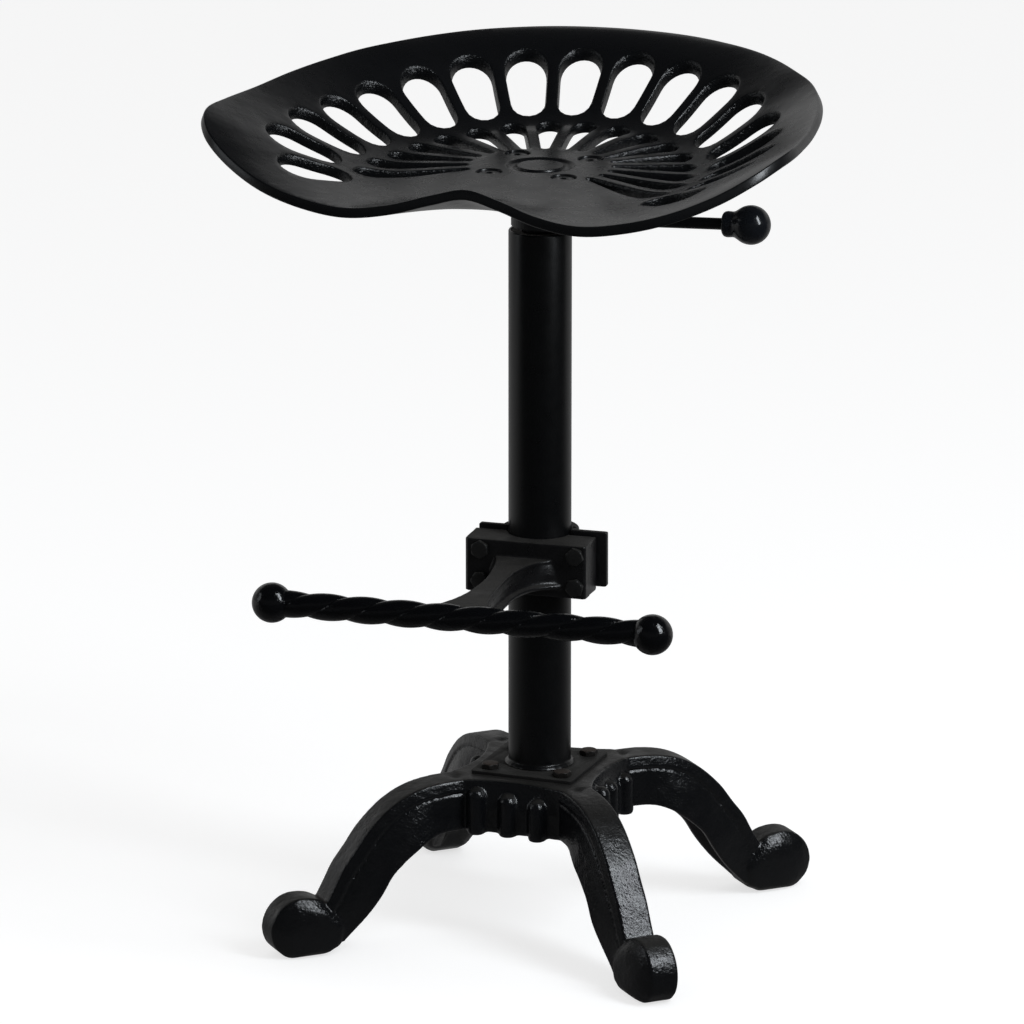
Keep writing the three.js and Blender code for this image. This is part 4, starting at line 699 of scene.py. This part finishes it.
# Two fans of slots with equal bridges, made from their count and the shares of the rim's reach at which they
# start and end. A slot is (bearing, inner centre, inner radius, outer centre, outer radius).
PITCH, BRIDGE, INNER_START, LONGEST_REACH = math.radians(15.1), 10.5, 57, 214
slots = []
for count, start_share, end_share in ((18, 0.603, 0.858), (17, None, 0.555)):
    for i in range(count):
        bearing = (i - (count - 1) / 2) * PITCH
        reach = float(at_rim(rim_reach, bearing))
        start = start_share * reach if start_share else INNER_START
        end = min(end_share * reach, LONGEST_REACH)
        spread = math.sin(PITCH / 2)
        wide = (end * spread - BRIDGE / 2) / (1 + spread)
        narrow = (start * spread - BRIDGE / 2) / (1 - spread)
        slots.append((bearing, start + narrow, narrow, end - wide, wide))


def slot_ring(slot, offset):
    """The plan outline of a slot, moved outwards from its wall."""
    bearing, inner, narrow, outer, wide = slot
    lean = math.asin((wide - narrow) / (outer - inner))
    end = [(outer + (wide + offset) * math.cos(a), (wide + offset) * math.sin(a))
           for a in np.linspace(-math.pi / 2 - lean, math.pi / 2 + lean, 17)]
    tip = [(inner + (narrow + offset) * math.cos(a), (narrow + offset) * math.sin(a))
           for a in np.linspace(math.pi / 2 + lean, 1.5 * math.pi - lean, 9)]
    flank = np.linspace(0, 1, 12)[1:-1, None]
    ring = np.vstack([end, end[-1] + (np.array(tip[0]) - end[-1]) * flank, tip,
                      tip[-1] + (np.array(end[0]) - tip[-1]) * flank])
    out = np.array([math.sin(bearing), math.cos(bearing)])
    across = np.array([math.cos(bearing), -math.sin(bearing)])
    return ring[:, :1] * out + ring[:, 1:] * across


def slot_distance(x, y):
    """Distance from the nearest slot's wall, below zero inside a slot."""
    nearest = np.full(np.shape(x), 1e9)
    for bearing, inner, narrow, outer, wide in slots:
        along = x * math.sin(bearing) + y * math.cos(bearing)
        across = x * math.cos(bearing) - y * math.sin(bearing)
        clipped = np.clip(along, inner, outer)
        radius = narrow + (wide - narrow) * (clipped - inner) / (outer - inner)
        nearest = np.minimum(nearest, np.hypot(along - clipped, across) - radius)
    return nearest


seat_points, seat_faces = [], []


def add_ring(x, y, z):
    """Puts a row of points into the seat and gives their numbers."""
    first = sum(len(row) for row in seat_points)
    seat_points.append(np.stack([x, y, z], axis=1))
    return np.arange(first, first + len(x))


def band(here, there):
    """Faces between two closed rings."""
    seat_faces.extend(zip(here, np.roll(here, -1), np.roll(there, -1), there))


def sheet(loops, inner, margin):
    """Triangles over a face of the seat, between its edge and its slots."""
    known = np.concatenate([*loops, inner])
    everything = np.vstack(seat_points)[known, :2]
    edges, first = [], 0
    for loop in loops:
        numbers = np.arange(first, first + len(loop))
        edges += list(zip(numbers.tolist(), np.roll(numbers, -1).tolist()))
        first += len(loop)
    made = delaunay_2d_cdt([Vector(point) for point in everything], edges, [], 1, 1e-5)
    origin = [sources[0] for sources in made[3]]
    faces = np.array([[origin[corner] for corner in face] for face in made[2]])
    middles = everything[faces].mean(axis=1)
    solid = slot_distance(middles[:, 0], middles[:, 1]) > margin
    seat_faces.extend(known[faces[solid]])


SINKS = [(30.5, 33.5), (-30.5, 33.5), (-30.5, -33.5), (30.5, -33.5)]
PAD_HALF_LENGTH, PAD_HALF_WIDTH, PAD_DEPTH = 34, 32, 4


def medallion(x, y):
    """How far the pressed ring and the screws' sinkings lie below the seat's upper face."""
    reach = np.hypot(x, y)
    depth = 2 * smoothstep(reach, 18, 18.9) * (1 - smoothstep(reach, 24.3, 27.4))
    for sink_x, sink_y in SINKS:
        away = np.hypot(x - sink_x, y - sink_y)
        depth = depth + 3.6 * (1 - smoothstep(away, 9.75, 10.5))
    return depth


def pad(x, y):
    """How far the pad for the under plate stands below the seat's lower face."""
    away = np.hypot(np.maximum(np.abs(x) - PAD_HALF_LENGTH, 0), np.maximum(np.abs(y) - PAD_HALF_WIDTH, 0))
    return PAD_DEPTH * (1 - smoothstep(away, 14.5, 17.5))


def scatter(edge_reach, gap):
    """Evenly spread plan points inside the rim and clear of the slots."""
    rows = []
    for k, reach in enumerate(np.arange(3, 240, 4.6)):
        count = max(int(2 * math.pi * reach / 5), 6)
        bearing = full_turn(count) + k * 0.5
        rows.append(np.stack([reach * np.sin(bearing), reach * np.cos(bearing)], axis=1))
    spots = np.vstack(rows)
    clear = slot_distance(spots[:, 0], spots[:, 1]) > gap
    inside = np.hypot(*spots.T) < edge_reach(np.arctan2(*spots.T)) - 2.5
    return spots[clear & inside]


# The rim: a squared edge, as thick as the wall, with small rounded corners above and below.
RIM_COUNT, CORNER = 300, 1.4
lengths = np.concatenate([[0], np.cumsum(np.linalg.norm(np.diff(rim[:, :2], axis=0), axis=1))])
spaced = np.interp(np.linspace(0, lengths[-1], RIM_COUNT, endpoint=False), lengths, rim_bearing)
edge = at_rim(rim_reach, spaced)
slope = seat_slope(spaced, edge)
middle = seat_middle(spaced, edge)
rim_rings = []
for side in (1, -1):
    corner_turn = np.linspace(0, math.pi / 2, 5)
    for a in corner_turn[::side]:
        inward = CORNER * (1 - math.sin(a))
        lift = side * (SEAT_HALF - CORNER * (1 - math.cos(a)))
        reach = edge - inward * np.cos(slope) - lift * np.sin(slope)
        height = middle - inward * np.sin(slope) + lift * np.cos(slope)
        rim_rings.append(add_ring(reach * np.sin(spaced), reach * np.cos(spaced), height))
for here, there in zip(rim_rings, rim_rings[1:]):
    band(here, there)

# The slots' walls: a round edge above, a wall with a little draft and a small round below.
FILLET = 2.1
slot_tops, slot_bottoms = [], []
for slot in slots:
    rings = []
    for a in np.linspace(0, math.pi / 2, 5):
        x, y = slot_ring(slot, 0.4 + (FILLET - 0.4) * (1 - math.sin(a))).T
        rings.append(add_ring(x, y, seat_face(x, y, 1) - FILLET * (1 - math.cos(a))))
    for a in np.linspace(math.pi / 2, 0, 3):
        x, y = slot_ring(slot, 1.3 * (1 - math.sin(a)) - 0.5).T
        rings.append(add_ring(x, y, seat_face(x, y, -1) + 0.8 * (1 - math.cos(a))))
    for here, there in zip(rings, rings[1:]):
        band(here, there)
    slot_tops.append(rings[0])
    slot_bottoms.append(rings[-1])

top_reach = np.hypot(*np.vstack(seat_points)[rim_rings[0], :2].T)
bottom_reach = np.hypot(*np.vstack(seat_points)[rim_rings[-1], :2].T)


def reach_of(ring_reach):
    """A rim ring's reach in any direction."""
    return lambda bearing: np.interp(np.mod(bearing, 2 * math.pi), spaced, ring_reach, period=2 * math.pi)


# The upper and the lower face: spread points, with rings of points where the medallion, the sinkings and the
# pad step up or down.
circles = [(0, 0, r) for r in (17.4, 18, 18.45, 18.9, 21.5, 24.3, 25.3, 26.4, 27.4, 28.2)]
circles += [(x, y, r) for x, y in SINKS for r in (5, 9.75, 10, 10.25, 10.5, 11.3)]
spots = scatter(reach_of(top_reach), FILLET + 1.8)
for x, y, r in circles:
    spots = spots[np.abs(np.hypot(spots[:, 0] - x, spots[:, 1] - y) - r) > 1.1]
spots = np.vstack([spots, *(np.array(arc(r, full_turn(60))) + (x, y) for x, y, r in circles)])
spots = spots[slot_distance(spots[:, 0], spots[:, 1]) > FILLET + 0.3]
x, y = spots.T
sheet([rim_rings[0], *slot_tops], add_ring(x, y, seat_face(x, y, 1) - medallion(x, y)), FILLET - 0.05)
spots = scatter(reach_of(bottom_reach), 2.6)
turn = full_turn(160)
for reach in (15.4, 16.6):
    side = np.clip(60 * np.cos(turn), -PAD_HALF_LENGTH, PAD_HALF_LENGTH) + reach * np.cos(turn)
    front = np.clip(60 * np.sin(turn), -PAD_HALF_WIDTH, PAD_HALF_WIDTH) + reach * np.sin(turn)
    spots = np.vstack([spots, np.stack([side, front], axis=1)])
spots = spots[slot_distance(spots[:, 0], spots[:, 1]) > 1.4]
x, y = spots.T
sheet([rim_rings[-1], *slot_bottoms], add_ring(x, y, seat_face(x, y, -1) - pad(x, y)), 0.75)

seat = mesh_piece("seat_skin", [(np.vstack(seat_points), seat_faces)])
seat_enamel = enamel("seat_enamel_finish", (0.003, 0.0033, 0.004), DUST, roughness=0.28, spread=0.02,
                     grain=(2, 0.05), lumps=(16, 0.3))
sand_enamel = enamel("slot_wall_enamel", (0.003, 0.0034, 0.004), DUST, roughness=0.2, spread=0.06,
                     grain=(1.5, 0.65), lumps=(5, 0.6))
dress(seat, seat_enamel, "seat_lift", "seat")
seat.data.materials.append(sand_enamel)
centres = np.empty(len(seat.data.polygons) * 3)
seat.data.polygons.foreach_get("center", centres)
centres = centres.reshape(-1, 3) / MM - AXIS
in_slot = slot_distance(centres[:, 0], centres[:, 1]) < FILLET * 0.6
seat.data.polygons.foreach_set("material_index", in_slot.astype(int))


# Seat screws. Four flat-headed socket screws lie in sinkings round the medallion and go through the seat and
# the under plate to nuts. Their heads were sprayed with the seat; the nuts below are dark and a little rusty.
for number in range(1, 5):
    node = "seat_screw_%d" % number
    low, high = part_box(node)
    head_top, foot_end = high.z / MM, low.z / MM
    middle_x, middle_y, _ = box_middle(node)
    head = [(4, 2.6), (9.6, 2.5), (9.6, 1.2), (8.9, 0.5), (8, 0.1), (6, 0), (2.6, 0), (2.3, 0.2), (2.2, 1.5),
            (0.02, 1.6)]
    profile = [(4, foot_end + 1), *((radius, head_top - down) for radius, down in head), (0.02, foot_end),
               (3.2, foot_end)]
    points, faces = lathe(profile, 48)
    points += (middle_x, middle_y, 0)
    screw = mesh_piece("seat_screw_head_%d" % number, [(points, faces)], sharp=35)
    dress(screw, seat_enamel, "seat_lift", node)
    eased_solid("seat_nut_%d" % number, "under_nut_%d" % number, "seat_lift", bolt_paint, 0.3)


# Footrest casting. One iron casting: a block that bears on the front of the column, a waisted arm with
# scooped sides and a foot flange, and a twisted bar with a ball at each end. It is shown as two meshes, so
# that the bar's edges stay crisp.
FOOTREST_TURN = math.radians(2.5)
BEARING_RADIUS, BLOCK_FRONT, ARM_ROOT = 25.3, 38, 36
BLOCK_LOW, BLOCK_HIGH, ARM_HALF, ARM_TOP = 281.5, 324.5, 23.5, 311.5
BAR_OUT, BAR_HEIGHT, BAR_HALF, BAR_PITCH, END_BALL = 216, 312.8, 152.5, 63, 15.72


def block():
    """The block, with the half-round bearing for the column in its back."""
    bearing = arc(BEARING_RADIUS, np.linspace(-0.24, 0.24 - math.pi, 40))
    outline = [(48.5, -6), *bearing, (-51, -6), (-51, -35.5), (-48.5, -BLOCK_FRONT), (47, -BLOCK_FRONT),
               (48.5, -36.5)]
    return prism(outline, BLOCK_LOW, BLOCK_HIGH)


def arm():
    """The arm, a deep bar with scooped walls and a foot flange, narrow between the block and the bar.

    Its shares are how far along it is, how wide, and how far its middle lies to the side in millimetres."""
    shares = [(0, 1.15, -1.5), (0.015, 1, -3), (0.035, 0.88, -4), (0.07, 0.75, -5), (0.13, 0.6, -5.5),
              (0.2, 0.49, -5.4), (0.28, 0.41, -4.8), (0.38, 0.36, -3.4), (0.48, 0.355, -2),
              (0.6, 0.385, -0.8), (0.72, 0.45, 0), (0.82, 0.56, 0.3), (0.9, 0.7, 0.2), (1, 0.95, 0)]
    rings = []
    for along, wide, centre in spline(shares, 80):
        half = ARM_HALF * wide
        top = ARM_TOP + 10.5 * along
        low = top - 23 + 5 * along
        root = 6 * math.exp(-((along / 0.08) ** 2))
        wall, flange = half - 2.2 + root, half + 2.6 + root + 11 * smoothstep(along, 0.5, 1)
        right = [(flange - 0.6, low), (flange, low + 0.8), (flange, low + 2.6), (flange - 1, low + 3.4),
                 (wall + 0.9, low + 4.2), (wall, low + 6), (wall - 0.3, (low + top) / 2),
                 (half - 1.5 + 0.4 * root, top - 4.6), (half - 0.3, top - 3), (half, top - 1),
                 (half - 0.7, top)]
        ring = right + [(-x, z) for x, z in reversed(right)]
        y = -ARM_ROOT - (BAR_OUT - ARM_ROOT) * along
        rings.append([(centre + x, y, z) for x, z in ring])
    return loft(rings)


def twisted_bar():
    """Two lobes wound round each other, as if a bar with two grooves had been twisted."""
    around = full_turn(64)
    reach = 8.2 + 2.46 * np.abs(np.cos(around)) ** 0.75
    rings = []
    for x in np.linspace(-BAR_HALF, BAR_HALF, 241):
        turn = around + x / BAR_PITCH * 2 * math.pi
        back, up = -BAR_OUT - reach * np.cos(turn), BAR_HEIGHT + reach * np.sin(turn)
        rings.append(np.stack([0 * around + x, back, up], axis=1))
    return loft(rings)


def ball(side):
    """A ball on an end of the bar."""
    profile = arc(END_BALL, np.linspace(0.01, math.pi - 0.01, 30))
    rings = [(side * BAR_HALF - along, arc(radius, full_turn(40))) for along, radius in profile]
    return loft([[(x, -BAR_OUT + y, BAR_HEIGHT + z) for y, z in ring] for x, ring in rings])


def turned_footrest(name, *bodies, sharp=None):
    """A piece of the footrest, which is clamped a little askew."""
    return mesh_piece(name, [(turned_about(points, FOOTREST_TURN), faces) for points, faces in bodies],
                      sharp=sharp)


footrest = turned_footrest("footrest_skin", block(), arm())
sand_cast(footrest, 0.8, 2)
footrest_enamel = enamel("footrest_enamel", (0.0045, 0.0045, 0.005), DUST, roughness=0.34, spread=0.08,
                         grain=(2, 0.16), lumps=(9, 0.35), dust=0.65)
dress(footrest, footrest_enamel, "footrest", "footrest_casting")
bar_enamel = enamel("bar_enamel", (0.0022, 0.0024, 0.003), DUST, roughness=0.14, spread=0.05,
                    grain=(2.4, 0.25), lumps=(8, 0.5))
bar = turned_footrest("footrest_bar", twisted_bar(), ball(-1), ball(1), sharp=24)
dress(bar, bar_enamel, "footrest", "footrest_casting")


# Clamp strap and bolts. A bent steel strap lies round the back of the column and is drawn to the block by
# four hexagon bolts with nuts behind its ears. Strap and bolts are sprayed with the casting.
STRAP_THICK, STRAP_LOW, STRAP_HIGH = 6, 282.5, 327


def strap():
    """The strap, an ear on each side of a half round."""
    outer = arc(BEARING_RADIUS + STRAP_THICK, np.linspace(0.128, math.pi - 0.128, 60))
    inner = arc(BEARING_RADIUS, np.linspace(math.pi + 0.079, -0.079, 60))
    outline = [(55.5, -2), (55.5, STRAP_THICK - 2), *outer, (-50, STRAP_THICK - 2), (-50, -2), *inner]
    return prism(outline, STRAP_LOW, STRAP_HIGH)


clamp = turned_footrest("strap", strap())
break_edges(clamp, 1.2, 3, 40)
dress(clamp, footrest_enamel, "footrest", "clamp_strap")

forward = np.array([math.sin(FOOTREST_TURN), -math.cos(FOOTREST_TURN), 0])
sideways = np.array([math.cos(FOOTREST_TURN), math.sin(FOOTREST_TURN), 0])
for number in range(1, 5):
    node = "clamp_bolt_%d" % number
    middle_x, middle_y, height = box_middle(node)
    across = sideways[0] * middle_x + sideways[1] * middle_y
    low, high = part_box(node)
    length = (high.y - low.y) / MM / math.cos(FOOTREST_TURN) - SOLID_HEAD
    points, faces = hex_bolt(length - ACROSS_FLATS * math.sin(FOOTREST_TURN), -30)
    turn = 0.3 + 1.3 * number
    side = sideways * math.cos(turn) + np.array([0, 0, 1]) * math.sin(turn)
    origin = sideways * across + forward * BLOCK_FRONT + (0, 0, height)
    bolt = mesh_piece("strap_bolt_%d" % number, [(in_frame(points, origin, forward, side), faces)], sharp=28)
    dress(bolt, plate_paint, "footrest", node)
    eased_solid("clamp_nut_%d" % number, "strap_nut_%d" % number, "footrest", bolt_paint, 0.3)


# Floor, light and camera. A wide white floor in an evenly lit room, a tall soft box at the right of the
# camera and a weak one at the left, and the camera at the photograph's angle with a long lens.
floor_mesh = bpy.data.meshes.new("floor")
FLOOR_HALF = 30
floor_mesh.from_pydata([(x * FLOOR_HALF, y * FLOOR_HALF, 0) for x, y in ((-1, -1), (1, -1), (1, 1), (-1, 1))],
                       [], [(0, 1, 2, 3)])
floor = bpy.data.objects.new("floor", floor_mesh)
scene.collection.objects.link(floor)
floor.location.z = -0.0004
white = bpy.data.materials.new("floor_white")
white.use_nodes = True
nodes, links = white.node_tree.nodes, white.node_tree.links
shader = nodes["Principled BSDF"]
shader.inputs["Base Color"].default_value = (0.45, 0.45, 0.45, 1)
shader.inputs["Roughness"].default_value = 0.9
shader.inputs["Emission Color"].default_value = (1, 1, 1, 1)


def ramp(nodes, links, vector, toward, start, end, least, most):
    """The least value, which rises smoothly to the most value in one direction."""
    facing = nodes.new("ShaderNodeVectorMath")
    facing.operation = "DOT_PRODUCT"
    facing.inputs[1].default_value = toward
    links.new(vector, facing.inputs[0])
    span = nodes.new("ShaderNodeMapRange")
    span.interpolation_type = "SMOOTHSTEP"
    span.inputs["From Min"].default_value = start
    span.inputs["From Max"].default_value = end
    span.inputs["To Min"].default_value = least
    span.inputs["To Max"].default_value = most
    links.new(facing.outputs["Value"], span.inputs["Value"])
    return span.outputs["Result"]


def seen_and_mirrored(nodes, links):
    """Two shares: 1 for what the camera sees, and 1 for what shows in a reflection or through glass."""
    path = nodes.new("ShaderNodeLightPath")
    glossy, through = path.outputs["Is Glossy Ray"], path.outputs["Is Transmission Ray"]
    return path.outputs["Is Camera Ray"], worked_out(nodes, links, "MAXIMUM", glossy, through)


# The camera sees a white floor. In reflections it is pale behind the stool and dark at the camera's side.
seen, reflected = seen_and_mirrored(nodes, links)
links.new(worked_out(nodes, links, "MULTIPLY", seen, 0.68), shader.inputs["Emission Strength"])
place = nodes.new("ShaderNodeNewGeometry").outputs["Position"]
mirror = nodes.new("ShaderNodeEmission")
links.new(ramp(nodes, links, place, (-0.5, 0.866, 0), -0.6, 1, 0.02, 0.35), mirror.inputs["Strength"])
choice = nodes.new("ShaderNodeMixShader")
links.new(reflected, choice.inputs["Fac"])
links.new(shader.outputs["BSDF"], choice.inputs[1])
links.new(mirror.outputs["Emission"], choice.inputs[2])
links.new(choice.outputs["Shader"], nodes["Material Output"].inputs["Surface"])
floor_mesh.materials.append(white)

# The room: even light on every face, a white ground to the camera, and in reflections a pale glow low behind
# the stool, which fades at the sides and overhead.
world = bpy.data.worlds.new("studio")
scene.world = world
world.use_nodes = True
nodes, links = world.node_tree.nodes, world.node_tree.links
sky = nodes["Background"]
sky.inputs["Color"].default_value = (1, 1, 1, 1)
seen, reflected = seen_and_mirrored(nodes, links)
direction = nodes.new("ShaderNodeTexCoord").outputs["Generated"]
glow = ramp(nodes, links, direction, (-0.326, 0.946, 0), 0.1, 0.75, 0.05, 0.5)
for start, end, least, most in ((-0.05, 0.22, 0.4, 1), (0.25, 0.62, 1, 0.08)):
    fading = ramp(nodes, links, direction, (0, 0, 1), start, end, least, most)
    glow = worked_out(nodes, links, "MULTIPLY", glow, fading)
level = 0.5
for share, value in ((reflected, glow), (seen, 1)):
    pick = nodes.new("ShaderNodeMix")
    pick.data_type = "FLOAT"
    links.new(share, pick.inputs["Factor"])
    set_socket(links, pick.inputs["A"], level)
    set_socket(links, pick.inputs["B"], value)
    level = pick.outputs["Result"]
links.new(level, sky.inputs["Strength"])


def direction_to(bearing, height):
    """The direction to a place at so many degrees round to the right of the front and above the floor."""
    bearing, height = math.radians(bearing), math.radians(height)
    return Vector((math.sin(bearing) * math.cos(height), -math.cos(bearing) * math.cos(height),
                   math.sin(height)))


STOOL_MIDDLE = Vector((0, 0, 0.35))


def soft_box(name, bearing, height, away, width, tall, power):
    """A rectangular lamp that faces the stool's middle."""
    lamp = bpy.data.lights.new(name, "AREA")
    lamp.shape = "RECTANGLE"
    lamp.size, lamp.size_y = width, tall
    lamp.energy = power
    lamp.color = (0.9, 0.95, 1)
    holder = bpy.data.objects.new(name, lamp)
    scene.collection.objects.link(holder)
    back = direction_to(bearing, height)
    holder.location = STOOL_MIDDLE + back * away
    holder.rotation_euler = (-back).to_track_quat("-Z", "Y").to_euler()


soft_box("key_box", 72, 39, 2.4, 0.55, 1.9, 38)
soft_box("left_box", -70, 20, 3, 0.8, 1.6, 4)

camera = bpy.data.cameras.new("camera")
camera.sensor_width = 36
camera.lens = 266.1
holder = bpy.data.objects.new("camera", camera)
scene.collection.objects.link(holder)
VIEW_MIDDLE, CAMERA_DISTANCE = Vector((-0.0209, 0.0054, 0.3394)), 6
back = direction_to(19, 15.73)
holder.location = VIEW_MIDDLE + back * CAMERA_DISTANCE
holder.rotation_euler = (-back).to_track_quat("-Z", "Y").to_euler()
camera.clip_end = 100
scene.camera = holder
scene.view_settings.view_transform = "Standard"
